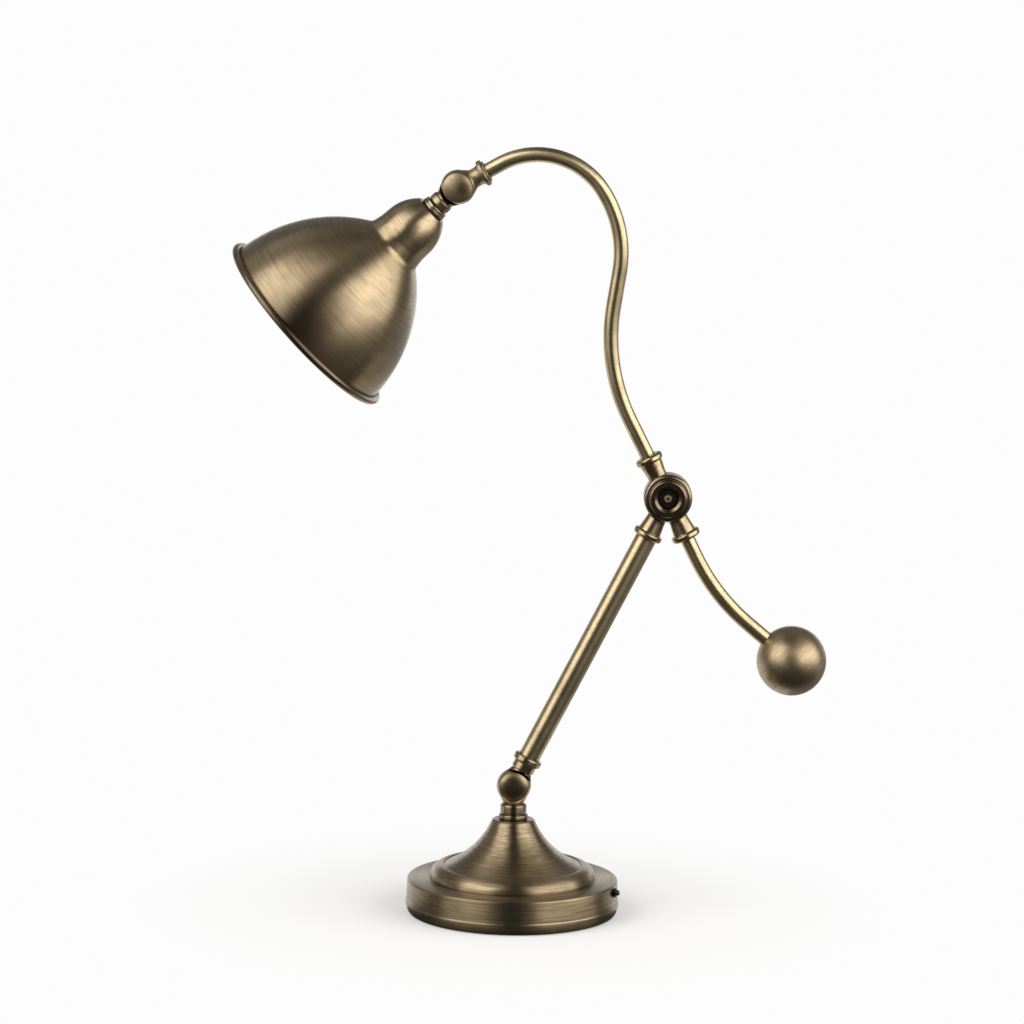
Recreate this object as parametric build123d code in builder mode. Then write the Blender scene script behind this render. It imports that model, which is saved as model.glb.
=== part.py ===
"""Counterbalanced desk lamp with a weighted base, a pivoting arm, a gooseneck beam and a tilting shade.

Millimetres, +Z up. The origin is the centre of the base's rest face. The arm and the beam swing in the
XZ plane, and the plain faces of the knuckles look along -Y. The gooseneck is turned a few degrees in its
socket, so the head stands a little behind that plane.
"""

import os
from math import cos, radians, sin, sqrt

from build123d import *

os.makedirs("parts", exist_ok=True)

# ---------------------------------------------------------------- clearances
FIT = 0.05  # radial clearance of a shaft or a thread in its hole
FACE_GAP = 0.05  # between flat faces that turn on each other
SEAT_GAP = 0.1  # between a fixed piece and the face that it bears on
SWING_GAP = 0.4  # between one half of a joint and the other half's neck
LEAD_SLACK = 0.3  # round the lead in its bores

# ---------------------------------------------------------------- posture at rest
ARM_ANGLE = 63.3  # arm above the horizontal
ARM_LENGTH = 246.8  # lower pivot to hub pivot
BEAM_ANGLE = 117.0  # gooseneck's socket above the horizontal
COUNTER_ANGLE = -63.9  # counter tube's socket above the horizontal
GOOSENECK_TURN = 4.5  # gooseneck about its socket, head towards +Y
SHADE_TILT = 13.1  # shade below the end of the gooseneck

# ---------------------------------------------------------------- base
WALL = 1.2  # spun brass of the base
BASE_RADIUS = 80.0  # widest, just above the foot
BAND_DRAFT = 1.1  # the band leans in to its top
BAND_TOP_RADIUS = BASE_RADIUS - BAND_DRAFT
BAND_TOP = 24.6
BAND_TURN = 7.5  # height where the band turns in to the foot
FOOT_INSET = 2.4  # the foot curls in under the band
FOOT_RADIUS = BASE_RADIUS - FOOT_INSET
FOOT_HEIGHT = 0.6
FOOT_CURVE = 12.0
SHOULDER_HEIGHT = 25.8
EDGE_CURVE = 1.3  # rounded edge between band and shoulder
SHOULDER_WIDTH = 18.4
STEP_RADIUS = BASE_RADIUS - SHOULDER_WIDTH
STEP_HEIGHT = 26.2
STEP_CURVE = 8.8  # rounded step round the foot of the cone
STEP_WIDTH = 9.8
GROOVE_RADIUS = STEP_RADIUS - STEP_WIDTH
STEP_RISE_HEIGHT = 9.5
GROOVE_HEIGHT = STEP_HEIGHT + STEP_RISE_HEIGHT
CONE_CURVE = 64.0  # hollow sweep of the cone
CONE_TOP_RADIUS = 16.4
CONE_TOP_CURVE = 2.0
CONE_HEIGHT = 71.1

FELT_THICKNESS = 2.0
COVER_THICKNESS = 1.2
COVER_INSET = 4.0  # cover inside the foot
COVER_RADIUS = BASE_RADIUS - COVER_INSET
FELT_INSET = 0.8
FELT_RADIUS = COVER_RADIUS - FELT_INSET
COVER_SCREWS = 3
COVER_SCREW_CIRCLE = 40.0  # radius of the circle the screws stand on
SCREW_RADIUS = 2.0
SCREW_DEPTH = 8.0
SCREW_HEAD_RADIUS = 3.8
SCREW_HEAD_HEIGHT = 1.6

WEIGHT_INSET = 16.0  # room for the switch and the gland
WEIGHT_RADIUS = BASE_RADIUS - WEIGHT_INSET
WEIGHT_STEP_WIDTH = 21.0
WEIGHT_STEP_RADIUS = WEIGHT_RADIUS - WEIGHT_STEP_WIDTH
WEIGHT_STEP_HEIGHT = 33.0
POCKET_RADIUS = 13.0
POCKET_TOP = 21.0
SLOT_WIDTH = 13.0

# ---------------------------------------------------------------- threaded tube, nuts and lead
NIPPLE_RADIUS = 5.0
LEAD_RADIUS = 2.4
LEAD_BEND = 6.0
LEAD_HEIGHT = 9.0  # lead along the floor of the base
NIPPLE_BORE = LEAD_RADIUS + LEAD_SLACK
NUT_SIDE = 14.0  # across flats
NUT_HEIGHT = 4.0
WASHER_RADIUS = 11.0
WASHER_THICKNESS = 1.0
WIRE_RADIUS = 0.9
WIRE_SPREAD = 2.4  # between the two switch wires
WIRE_BEND = 3.0

BLOCK_LENGTH = 22.0
BLOCK_WIDTH = 12.0
BLOCK_HEIGHT = 10.0
BLOCK_INSET = 34.0  # inner end from the weight's rim
BLOCK_DISTANCE = WEIGHT_RADIUS - BLOCK_INSET
BLOCK_SCREW_RADIUS = 1.6

GLAND_FLANGE_RADIUS = 5.0
GLAND_FLANGE_THICKNESS = 2.5
GLAND_NECK_RADIUS = 4.0
GLAND_INNER_LENGTH = 5.0

# ---------------------------------------------------------------- push switch
SWITCH_AZIMUTH = -16.0
SWITCH_HEIGHT = 20.6
SWITCH_TRAVEL = 1.8
BUTTON_RADIUS = 2.0
BUTTON_REACH = 4.2  # out of the band at rest
BUTTON_COLLAR_RADIUS = 2.5
BUTTON_COLLAR_HEIGHT = 1.4
BEZEL_RADIUS = 3.5
BEZEL_STANDOFF = 0.4  # the band is round and the bezel is flat
BEZEL_THICKNESS = 1.4
BUSH_RADIUS = 2.8
HOUSING_RADIUS = 3.7
HOUSING_LENGTH = 12.0
HOUSING_GAP = 0.9  # behind the round wall of the band
TAB_LENGTH = 2.9
TAB_WIDTH = 2.8
TAB_THICKNESS = 0.8

# ---------------------------------------------------------------- neck of the base
NECK_RING_RADIUS = 10.9
NECK_RING_HEIGHT = 4.1
NECK_RING_TOP = CONE_HEIGHT + NECK_RING_HEIGHT
NECK_GROOVE_RADIUS = 8.7
NECK_GROOVE = 0.8
NECK_BEAD_RADIUS = 9.8
NECK_BEAD_HEIGHT = 7.0
NECK_TOP = NECK_RING_TOP + NECK_GROOVE + NECK_BEAD_HEIGHT
NIPPLE_LENGTH_IN_NECK = 3.0

# ---------------------------------------------------------------- knuckles
KNUCKLE_RADIUS = 12.8
PIVOT_CLEARANCE = 0.6  # lower knuckle above the neck of the base
PIVOT_HEIGHT = NECK_TOP + PIVOT_CLEARANCE + KNUCKLE_RADIUS  # lower pivot above the table
KNUCKLE_FACE_RADIUS = 10.9
KNUCKLE_FACE = sqrt(KNUCKLE_RADIUS**2 - KNUCKLE_FACE_RADIUS**2)  # ball's flat from the split plane
KNUCKLE_CROWN_RADIUS = 8.7
KNUCKLE_CROWN = 0.9  # crown above the flat
KNUCKLE_DOME = 1.4
KNUCKLE_EDGE = 0.4
FLARE_ROOT_RADIUS = 11.1  # neck where it leaves the ball
FLARE_ROOT = 6.3
NECK_RADIUS = 7.7
NECK_START = 13.0  # where the neck is fully round, from the pivot
DISC_THICKNESS = 0.8  # friction disc between the halves
DISC_RADIUS = 9.5
PIVOT_RADIUS = 2.5
PIVOT_HEAD_RADIUS = 4.5
PIVOT_HEAD_HEIGHT = 2.6
PIVOT_SLOT = 0.9
RECESS_RADIUS = 5.2
RECESS_DEPTH = 3.5
PIVOT_DEPTH = 5.5  # thread in the front half, from the split plane
SPRING_THICKNESS = 0.6

# ---------------------------------------------------------------- arm
ARM_TUBE_RADIUS = 8.0
ARM_TUBE_WALL = 1.2
ARM_SEAT_DEPTH = 4.5
ARM_COLLAR_RADIUS = 10.8
ARM_COLLAR_START = 19.8
ARM_COLLAR_END = 25.0
ARM_BARREL_RADIUS = 8.7
ARM_BARREL_START = 13.9

# ---------------------------------------------------------------- hub
HUB_RADIUS = 18.0
HUB_SPLIT = 0.5  # half the gap between the two halves
HUB_SIDE = 6.6
HUB_SHOULDER = 9.2
HUB_CURVE = 3.0
LIP_RADIUS = 14.1
LIP_INNER_RADIUS = 9.8
LIP_HEIGHT = 12.4
LIP_CURVE = 1.9
HUB_RECESS_RADIUS = 7.8
HUB_RECESS_EDGE = 10.6
HUB_RECESS_FLOOR = 5.6
HUB_DISC_RADIUS = 15.0
BOLT_RADIUS = 3.35
BOLT_END = 9.6
BOLT_DIMPLE_RADIUS = 0.9
BOLT_DIMPLE_DEPTH = 1.6
BOLT_HEAD_RADIUS = 6.6
BOLT_HEAD_HEIGHT = 4.2
BOLT_SLOT = 1.4
LOCK_NUT_RADIUS = 7.2
LOCK_NUT_HEIGHT = 2.2
SOCKET_WAIST = 7.4
SOCKET_FLARE = 8.7
SOCKET_START = 9.0
SOCKET_WAIST_END = 20.0
SOCKET_WAIST_CURVE = 20.0
SOCKET_END = 34.2
SOCKET_RING_HEIGHT = 4.9
SOCKET_RING_CURVE = 2.0
ARM_RING_RADIUS = 11.0
COUNTER_RING_RADIUS = 11.0
BEAM_RING_RADIUS = 10.4

# ---------------------------------------------------------------- beam
BEAM_TUBE_RADIUS = 5.6
BEAM_TUBE_WALL = 1.0
BEAM_SEAT_DEPTH = 8.4
NECK_STRAIGHT = 64.0  # straight out of the hub pivot
SWAY_RADIUS = 141.0
SWAY_ANGLE = 35.7
NECK_REACH = 25.5
CROOK_RADIUS = 85.5
CROOK_ANGLE = 42.0
CROWN_RADIUS = 57.0
CROWN_ANGLE = 86.7
NECK_DROP = 35.5  # straight into the head pivot
COUNTER_FALL = 48.3  # straight out of the hub pivot
COUNTER_RADIUS = 154.5
COUNTER_TURN_ANGLE = 24.1
COUNTER_REACH = 43.6  # straight into the ball's centre
BALL_RADIUS = 26.0
BALL_SEAT = 17.0  # end of the counter tube from the ball's centre
STUD_RADIUS = 3.0
STUD_LENGTH_IN_TUBE = 12.0
STUD_LENGTH_IN_BALL = 14.0

# ---------------------------------------------------------------- head
HEAD_WAIST_RADIUS = 7.0
HEAD_WAIST_END = 17.0
HEAD_FLARE_RADIUS = 8.2
HEAD_RING_RADIUS = 10.1
HEAD_RING_START = 20.0
HEAD_RING_END = 24.8
HEAD_LIP_START = 23.4
HEAD_LIP_RADIUS = 8.0
HEAD_SEAT = 16.0  # end of the gooseneck from the head pivot, and of the shade's threaded tube
SHADE_BEAD_RADIUS = 8.6
SHADE_BEAD_START = 14.6
SHADE_NECK_END = 20.8
SHADE_COLLAR_RADIUS = 10.2
SHADE_COLLAR_GROOVE = 0.5
SHADE_COLLAR_STEP = 23.4
SHADE_COLLAR_END = 25.2
SHADE_WASHER_RADIUS = 9.7
SHADE_WASHER_END = 26.4

SHADE_WALL = 0.8
SHADE_DEPTH = 126.4  # rim plane to the top of the cup
RIM_RADIUS = 75.8  # centre of the rolled bead
RIM_BEAD_RADIUS = 2.65
BELL_RADIUS = 73.75
BELL_CURVE = 116.0
CUP_ROOT_RADIUS = 23.6
CUP_ROOT = 88.1
CUP_RADIUS = 22.2
CUP_START = 96.5
CUP_SHOULDER_RADIUS = 21.9
CUP_SHOULDER = 104.5
CUP_TOP_RADIUS = 12.4
CREASE_CURVE = 3.0

HOLDER_NUT_RADIUS = 8.0
HOLDER_NUT_HEIGHT = 3.0
HOLDER_RADIUS = 17.3
HOLDER_CAP_LENGTH = 9.0
HOLDER_LENGTH = 34.0
HOLDER_WALL = 2.4
HOLDER_FLOOR = 4.0
SLEEVE_WALL = 0.6
SLEEVE_LENGTH = 24.0
CONTACT_RADIUS = 3.4
CONTACT_HEIGHT = 2.4
BULB_CAP_RADIUS = 13.1
BULB_CAP_LENGTH = 24.0
BULB_CAP_WALL = 0.6
BULB_TIP_LENGTH = 3.0
BULB_RADIUS = 22.5
BULB_NECK_RADIUS = 12.2
BULB_LENGTH = 54.0  # glass beyond the cap
BULB_WALL = 1.0

FRONT = Vector(0, -1, 0)
BACK = Vector(0, 1, 0)
UP = Vector(0, 0, 1)


# ---------------------------------------------------------------- helpers
def heading(angle):
    """Unit vector in the XZ plane at an angle above +X."""
    return Vector(cos(radians(angle)), 0, sin(radians(angle)))


def compass(angle):
    """Unit vector in the XY plane at an angle from +X towards +Y."""
    return Vector(cos(radians(angle)), sin(radians(angle)), 0)


def polar(angle, distance):
    """Local (x, y) at an angle and a distance."""
    return (distance * cos(radians(angle)), distance * sin(radians(angle)))


def axial_plane(origin, axis, side):
    """Plane for the outline of a turned piece: local Y runs along the axis, local X towards the side."""
    return Plane(origin=origin, x_dir=side, z_dir=side.cross(axis))


def turn(plane, points, radii=0.0, mode=Mode.ADD):
    """Turn a closed outline of (radius, height) points, with a rounding for each, about the plane's Y."""
    with BuildSketch(plane) as outline:
        with BuildLine():
            FilletPolyline(*points, radius=radii, close=True)
        make_face()
    revolve(outline.sketch, axis=Axis(plane.origin, plane.y_dir), mode=mode)


def rod(origin, direction, start, end, radius, mode=Mode.ADD):
    """Round bar or bore along a direction, between two distances from the origin."""
    with BuildSketch(Plane(origin=origin + direction * start, z_dir=direction)) as section:
        Circle(radius)
    extrude(section.sketch, amount=end - start, mode=mode)


def tube(path, radius, wall):
    """Round tube, or a solid bar where the wall is 0, along a path."""
    with BuildSketch(Plane(origin=path @ 0, z_dir=path % 0)) as section:
        Circle(radius)
        if wall:
            Circle(radius - wall, mode=Mode.SUBTRACT)
    sweep(section.sketch, path=path)


def save(piece, name):
    """Label a finished piece and write it out."""
    piece.part.label = name
    export_step(piece.part, f"parts/{name}.step")


# ---------------------------------------------------------------- places
base_plane = axial_plane(Vector(0, 0, 0), UP, Vector(1, 0, 0))
low_pivot = Vector(0, 0, PIVOT_HEIGHT)
arm_up = heading(ARM_ANGLE)
hub_pivot = low_pivot + arm_up * ARM_LENGTH
beam_out = heading(BEAM_ANGLE)
counter_out = heading(COUNTER_ANGLE)
switch_out = compass(SWITCH_AZIMUTH)
gland_out = BACK

beam_socket = Axis(hub_pivot, beam_out)
beam_plane = Plane(
    origin=hub_pivot,
    x_dir=Vector(1, 0, 0).rotate(beam_socket, -GOOSENECK_TURN),
    z_dir=FRONT.rotate(beam_socket, -GOOSENECK_TURN),
)


def gooseneck_line(start, end):
    """Gooseneck's centreline, from a distance off the hub pivot to a distance off the head pivot."""
    with BuildLine(beam_plane) as line:
        rise = Line(polar(BEAM_ANGLE, start), polar(BEAM_ANGLE, NECK_STRAIGHT))
        sway = JernArc(rise @ 1, rise % 1, SWAY_RADIUS, -SWAY_ANGLE)
        reach = Line(sway @ 1, sway @ 1 + (sway % 1) * NECK_REACH)
        crook = JernArc(reach @ 1, reach % 1, CROOK_RADIUS, CROOK_ANGLE)
        crown = JernArc(crook @ 1, crook % 1, CROWN_RADIUS, CROWN_ANGLE)
        Line(crown @ 1, crown @ 1 + (crown % 1) * (NECK_DROP - end))
    return line.wires()[0]


def counter_line(start, end):
    """Counter tube's centreline, from a distance off the hub pivot to a distance off the ball's centre."""
    with BuildLine(Plane(origin=hub_pivot, x_dir=(1, 0, 0), z_dir=FRONT)) as line:
        fall = Line(polar(COUNTER_ANGLE, start), polar(COUNTER_ANGLE, COUNTER_FALL))
        bend = JernArc(fall @ 1, fall % 1, COUNTER_RADIUS, COUNTER_TURN_ANGLE)
        Line(bend @ 1, bend @ 1 + (bend % 1) * (COUNTER_REACH - end))
    return line.wires()[0]


head_line = gooseneck_line(0, 0)
head_pivot = head_line @ 1
neck_end = head_line % 1
head_front = beam_plane.z_dir
shade_out = neck_end.rotate(Axis(head_pivot, head_front), SHADE_TILT)
ball_line = counter_line(0, 0)
ball_centre = ball_line @ 1
ball_in = ball_line % 1

disc_half = DISC_THICKNESS / 2
cover_top = FELT_THICKNESS + COVER_THICKNESS
weight_bottom = cover_top + SEAT_GAP
weight_top = SHOULDER_HEIGHT - WALL - SEAT_GAP
washer_bottom = POCKET_TOP - SEAT_GAP - WASHER_THICKNESS
nut_bottom = washer_bottom - SEAT_GAP - NUT_HEIGHT
nipple_bottom = nut_bottom - 1.0
nipple_top = NECK_RING_TOP + NIPPLE_LENGTH_IN_NECK

switch_centre = UP * SWITCH_HEIGHT
switch_plane = axial_plane(switch_centre, switch_out, UP)
band_slope = (BASE_RADIUS - BAND_TOP_RADIUS) / (BAND_TOP - BAND_TURN)
band_face = BASE_RADIUS - band_slope * (SWITCH_HEIGHT - BAND_TURN)
bezel_back = band_face + BEZEL_STANDOFF
housing_front = band_face - WALL - HOUSING_GAP
housing_back = housing_front - HOUSING_LENGTH
collar_top = housing_front - BUTTON_COLLAR_HEIGHT
collar_bottom = collar_top - BUTTON_COLLAR_HEIGHT
tab_end = housing_back - TAB_LENGTH

# ================================================================ base
with BuildPart() as base_shell:
    with BuildSketch(base_plane):
        with BuildLine() as skin:
            top = Line((NIPPLE_RADIUS + FIT, CONE_HEIGHT), (CONE_TOP_RADIUS - CONE_TOP_CURVE, CONE_HEIGHT))
            brow = JernArc(top @ 1, top % 1, CONE_TOP_CURVE, -50)
            cone = RadiusArc(brow @ 1, (GROOVE_RADIUS, GROOVE_HEIGHT), -CONE_CURVE)
            step = RadiusArc(cone @ 1, (STEP_RADIUS, STEP_HEIGHT), STEP_CURVE)
            shoulder = Line(step @ 1, (BAND_TOP_RADIUS - EDGE_CURVE, SHOULDER_HEIGHT))
            edge = RadiusArc(shoulder @ 1, (BAND_TOP_RADIUS, BAND_TOP), -EDGE_CURVE)
            band = Line(edge @ 1, (BASE_RADIUS, BAND_TURN))
            RadiusArc(band @ 1, (FOOT_RADIUS, FOOT_HEIGHT), -FOOT_CURVE)
            offset(skin.line, amount=WALL, side=Side.RIGHT)
        make_face()
    revolve(axis=Axis.Z)
    band_inside = BAND_TOP_RADIUS - 2 * EDGE_CURVE - WALL
    rod(switch_centre, switch_out, band_inside, bezel_back, BUSH_RADIUS + FIT, Mode.SUBTRACT)
    rod(UP * LEAD_HEIGHT, gland_out, band_inside, BASE_RADIUS + WALL, GLAND_NECK_RADIUS + FIT, Mode.SUBTRACT)
save(base_shell, "base_shell")

with BuildPart() as base_weight:
    turn(
        base_plane,
        [
            (NIPPLE_RADIUS + FIT, weight_bottom),
            (WEIGHT_RADIUS, weight_bottom),
            (WEIGHT_RADIUS, weight_top),
            (WEIGHT_STEP_RADIUS, weight_top),
            (WEIGHT_STEP_RADIUS, WEIGHT_STEP_HEIGHT),
            (NIPPLE_RADIUS + FIT, WEIGHT_STEP_HEIGHT),
        ],
    )
    rod(Vector(0, 0, 0), UP, weight_bottom, POCKET_TOP, POCKET_RADIUS, Mode.SUBTRACT)
    for angle, top in ((SWITCH_AZIMUTH, WEIGHT_STEP_HEIGHT), (90, POCKET_TOP)):
        with BuildSketch(Plane(origin=UP * weight_bottom, x_dir=compass(angle), z_dir=UP)) as slot:
            Rectangle(WEIGHT_RADIUS + 1, SLOT_WIDTH, align=(Align.MIN, Align.CENTER))
            Circle(POCKET_RADIUS - 1, mode=Mode.SUBTRACT)
        extrude(slot.sketch, amount=top - weight_bottom, mode=Mode.SUBTRACT)
    with BuildSketch(Plane.XY.offset(weight_bottom)) as taps:
        with PolarLocations(COVER_SCREW_CIRCLE, COVER_SCREWS, start_angle=30):
            Circle(SCREW_RADIUS + FIT)
    extrude(taps.sketch, amount=SCREW_DEPTH + 1, mode=Mode.SUBTRACT)
save(base_weight, "base_weight")

with BuildPart() as base_cover:
    with BuildSketch(Plane.XY.offset(FELT_THICKNESS)):
        Circle(COVER_RADIUS)
        with PolarLocations(COVER_SCREW_CIRCLE, COVER_SCREWS, start_angle=30):
            Circle(SCREW_RADIUS + FIT, mode=Mode.SUBTRACT)
    extrude(amount=COVER_THICKNESS)
save(base_cover, "base_cover")

with BuildPart() as base_felt:
    with BuildSketch(Plane.XY):
        Circle(FELT_RADIUS)
        with PolarLocations(COVER_SCREW_CIRCLE, COVER_SCREWS, start_angle=30):
            Circle(SCREW_HEAD_RADIUS + LEAD_SLACK, mode=Mode.SUBTRACT)
    extrude(amount=FELT_THICKNESS)
save(base_felt, "base_felt")

with BuildPart() as cover_screws:
    with BuildSketch(Plane.XY.offset(FELT_THICKNESS - SCREW_HEAD_HEIGHT)):
        with PolarLocations(COVER_SCREW_CIRCLE, COVER_SCREWS, start_angle=30):
            Circle(SCREW_HEAD_RADIUS)
            Rectangle(2 * SCREW_HEAD_RADIUS, PIVOT_SLOT, mode=Mode.SUBTRACT)
    extrude(amount=SCREW_HEAD_HEIGHT / 2)
    with BuildSketch(Plane.XY.offset(FELT_THICKNESS - SCREW_HEAD_HEIGHT / 2)):
        with PolarLocations(COVER_SCREW_CIRCLE, COVER_SCREWS, start_angle=30):
            Circle(SCREW_HEAD_RADIUS)
    extrude(amount=SCREW_HEAD_HEIGHT / 2)
    with BuildSketch(Plane.XY.offset(FELT_THICKNESS)):
        with PolarLocations(COVER_SCREW_CIRCLE, COVER_SCREWS, start_angle=30):
            Circle(SCREW_RADIUS)
    extrude(amount=COVER_THICKNESS + SCREW_DEPTH)
save(cover_screws, "cover_screws")

with BuildPart() as base_nipple:
    with BuildSketch(Plane.XY.offset(nipple_bottom)):
        Circle(NIPPLE_RADIUS)
        Circle(NIPPLE_BORE, mode=Mode.SUBTRACT)
    extrude(amount=nipple_top - nipple_bottom)
save(base_nipple, "base_nipple")

with BuildPart() as base_nut:
    with BuildSketch(Plane.XY.offset(nut_bottom)):
        RegularPolygon(NUT_SIDE / 2, 6, major_radius=False)
        Circle(NIPPLE_RADIUS + FIT, mode=Mode.SUBTRACT)
    extrude(amount=NUT_HEIGHT)
save(base_nut, "base_nut")

with BuildPart() as base_washer:
    with BuildSketch(Plane.XY.offset(washer_bottom)):
        Circle(WASHER_RADIUS)
        Circle(NIPPLE_RADIUS + FIT, mode=Mode.SUBTRACT)
    extrude(amount=WASHER_THICKNESS)
save(base_washer, "base_washer")

# ---------------------------------------------------------------- leads in the base
with BuildPart() as cable_gland:
    gland_face = BASE_RADIUS
    rod(UP * LEAD_HEIGHT, gland_out, gland_face, gland_face + GLAND_FLANGE_THICKNESS, GLAND_FLANGE_RADIUS)
    rod(UP * LEAD_HEIGHT, gland_out, gland_face - WALL - GLAND_INNER_LENGTH, gland_face, GLAND_NECK_RADIUS)
    rod(
        UP * LEAD_HEIGHT,
        gland_out,
        gland_face - WALL - GLAND_INNER_LENGTH,
        gland_face + GLAND_FLANGE_THICKNESS,
        LEAD_RADIUS + LEAD_SLACK,
        Mode.SUBTRACT,
    )
    fillet(cable_gland.edges().group_by(Axis.Y)[-1].sort_by(SortBy.RADIUS)[-1], 1.0)
save(cable_gland, "cable_gland")

with BuildPart() as terminal_block:
    block_middle = BLOCK_DISTANCE + BLOCK_LENGTH / 2
    with BuildSketch(Plane.XY.offset(LEAD_HEIGHT - BLOCK_HEIGHT / 2)):
        with Locations(gland_out * block_middle):
            Rectangle(BLOCK_WIDTH, BLOCK_LENGTH)
    extrude(amount=BLOCK_HEIGHT)
    fillet(terminal_block.edges().filter_by(Axis.Z), 1.0)
    with BuildSketch(Plane.XY.offset(LEAD_HEIGHT + BLOCK_HEIGHT / 2)) as wells:
        with Locations(gland_out * block_middle):
            with GridLocations(BLOCK_WIDTH / 2, BLOCK_LENGTH / 2, 2, 2):
                Circle(BLOCK_SCREW_RADIUS)
    extrude(wells.sketch, amount=-BLOCK_HEIGHT / 3, mode=Mode.SUBTRACT)
save(terminal_block, "terminal_block")

with BuildPart() as inlet_lead:
    rod(UP * LEAD_HEIGHT, gland_out, BLOCK_DISTANCE + BLOCK_LENGTH + FIT, gland_face, LEAD_RADIUS)
save(inlet_lead, "inlet_lead")

with BuildPart() as base_lead:
    with BuildLine() as base_lead_route:
        FilletPolyline(
            gland_out * (BLOCK_DISTANCE - FIT) + UP * LEAD_HEIGHT,
            UP * LEAD_HEIGHT,
            UP * nipple_top,
            radius=LEAD_BEND,
        )
    tube(base_lead_route.wires()[0], LEAD_RADIUS, 0)
save(base_lead, "base_lead")

with BuildPart() as switch_wires:
    for lift in (-WIRE_SPREAD / 2, WIRE_SPREAD / 2):
        wire_floor = UP * (LEAD_HEIGHT + lift)
        with BuildLine() as wire_route:
            FilletPolyline(
                switch_out * (tab_end - FIT) + UP * (SWITCH_HEIGHT + lift),
                switch_out * (tab_end - 2 * WIRE_BEND) + UP * (SWITCH_HEIGHT + lift),
                switch_out * (tab_end - 7 * WIRE_BEND) + wire_floor,
                switch_out * (POCKET_RADIUS - 2 * WIRE_RADIUS) + wire_floor,
                Vector(BLOCK_WIDTH / 3, POCKET_RADIUS - WIRE_BEND, 0) + wire_floor,
                Vector(BLOCK_WIDTH / 3, BLOCK_DISTANCE - FIT, 0) + wire_floor,
                radius=WIRE_BEND,
            )
        tube(wire_route.wires()[0], WIRE_RADIUS, 0)
save(switch_wires, "switch_wires")

# ---------------------------------------------------------------- push switch
with BuildPart() as switch_body:
    turn(
        switch_plane,
        [
            (0, housing_back),
            (HOUSING_RADIUS, housing_back),
            (HOUSING_RADIUS, housing_front),
            (BUSH_RADIUS, housing_front),
            (BUSH_RADIUS, bezel_back + BEZEL_THICKNESS / 2),
            (0, bezel_back + BEZEL_THICKNESS / 2),
        ],
        [0, 0.5, 0.5, 0, 0, 0],
    )
    rod(switch_centre, switch_out, collar_top, bezel_back + BEZEL_THICKNESS, BUTTON_RADIUS + FIT, Mode.SUBTRACT)
    cavity_floor = collar_bottom - SWITCH_TRAVEL - SEAT_GAP
    rod(switch_centre, switch_out, cavity_floor, collar_top + SEAT_GAP, BUTTON_COLLAR_RADIUS + FIT, Mode.SUBTRACT)
save(switch_body, "switch_body")

with BuildPart() as switch_tabs:
    with BuildSketch(Plane(origin=switch_centre + switch_out * housing_back, x_dir=UP, z_dir=-switch_out)) as tabs:
        with GridLocations(WIRE_SPREAD, 0, 2, 1):
            Rectangle(TAB_THICKNESS, TAB_WIDTH)
    extrude(tabs.sketch, amount=TAB_LENGTH)
save(switch_tabs, "switch_tabs")

with BuildPart() as switch_bezel:
    turn(
        switch_plane,
        [
            (BUSH_RADIUS + FIT, bezel_back),
            (BEZEL_RADIUS, bezel_back),
            (BEZEL_RADIUS, bezel_back + BEZEL_THICKNESS),
            (BUTTON_RADIUS + LEAD_SLACK, bezel_back + BEZEL_THICKNESS),
            (BUTTON_RADIUS + LEAD_SLACK, bezel_back + BEZEL_THICKNESS / 2 + SEAT_GAP),
            (BUSH_RADIUS + FIT, bezel_back + BEZEL_THICKNESS / 2 + SEAT_GAP),
        ],
        [0, 0, 0.3, 0, 0, 0],
    )
save(switch_bezel, "switch_bezel")

with BuildPart() as switch_button:
    turn(
        switch_plane,
        [
            (0, collar_bottom),
            (BUTTON_COLLAR_RADIUS, collar_bottom),
            (BUTTON_COLLAR_RADIUS, collar_top),
            (BUTTON_RADIUS, collar_top),
            (BUTTON_RADIUS, band_face + BUTTON_REACH),
            (0, band_face + BUTTON_REACH),
        ],
        [0, 0, 0, 0, 1.0, 0],
    )
save(switch_button, "switch_button")

# ---------------------------------------------------------------- neck of the base
with BuildPart() as base_neck:
    neck_seat = CONE_HEIGHT
    turn(
        base_plane,
        [
            (NIPPLE_RADIUS + FIT, neck_seat),
            (NECK_RING_RADIUS, neck_seat),
            (NECK_RING_RADIUS, NECK_RING_TOP),
            (NECK_GROOVE_RADIUS, NECK_RING_TOP),
            (NECK_GROOVE_RADIUS, NECK_RING_TOP + NECK_GROOVE),
            (NECK_BEAD_RADIUS, NECK_RING_TOP + NECK_GROOVE),
            (NECK_BEAD_RADIUS, NECK_TOP - SEAT_GAP),
            (NIPPLE_RADIUS + FIT, NECK_TOP - SEAT_GAP),
        ],
        [0, 1.6, 1.2, 0.2, 0.2, 0.8, 1.6, 0],
    )
save(base_neck, "base_neck")


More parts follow.
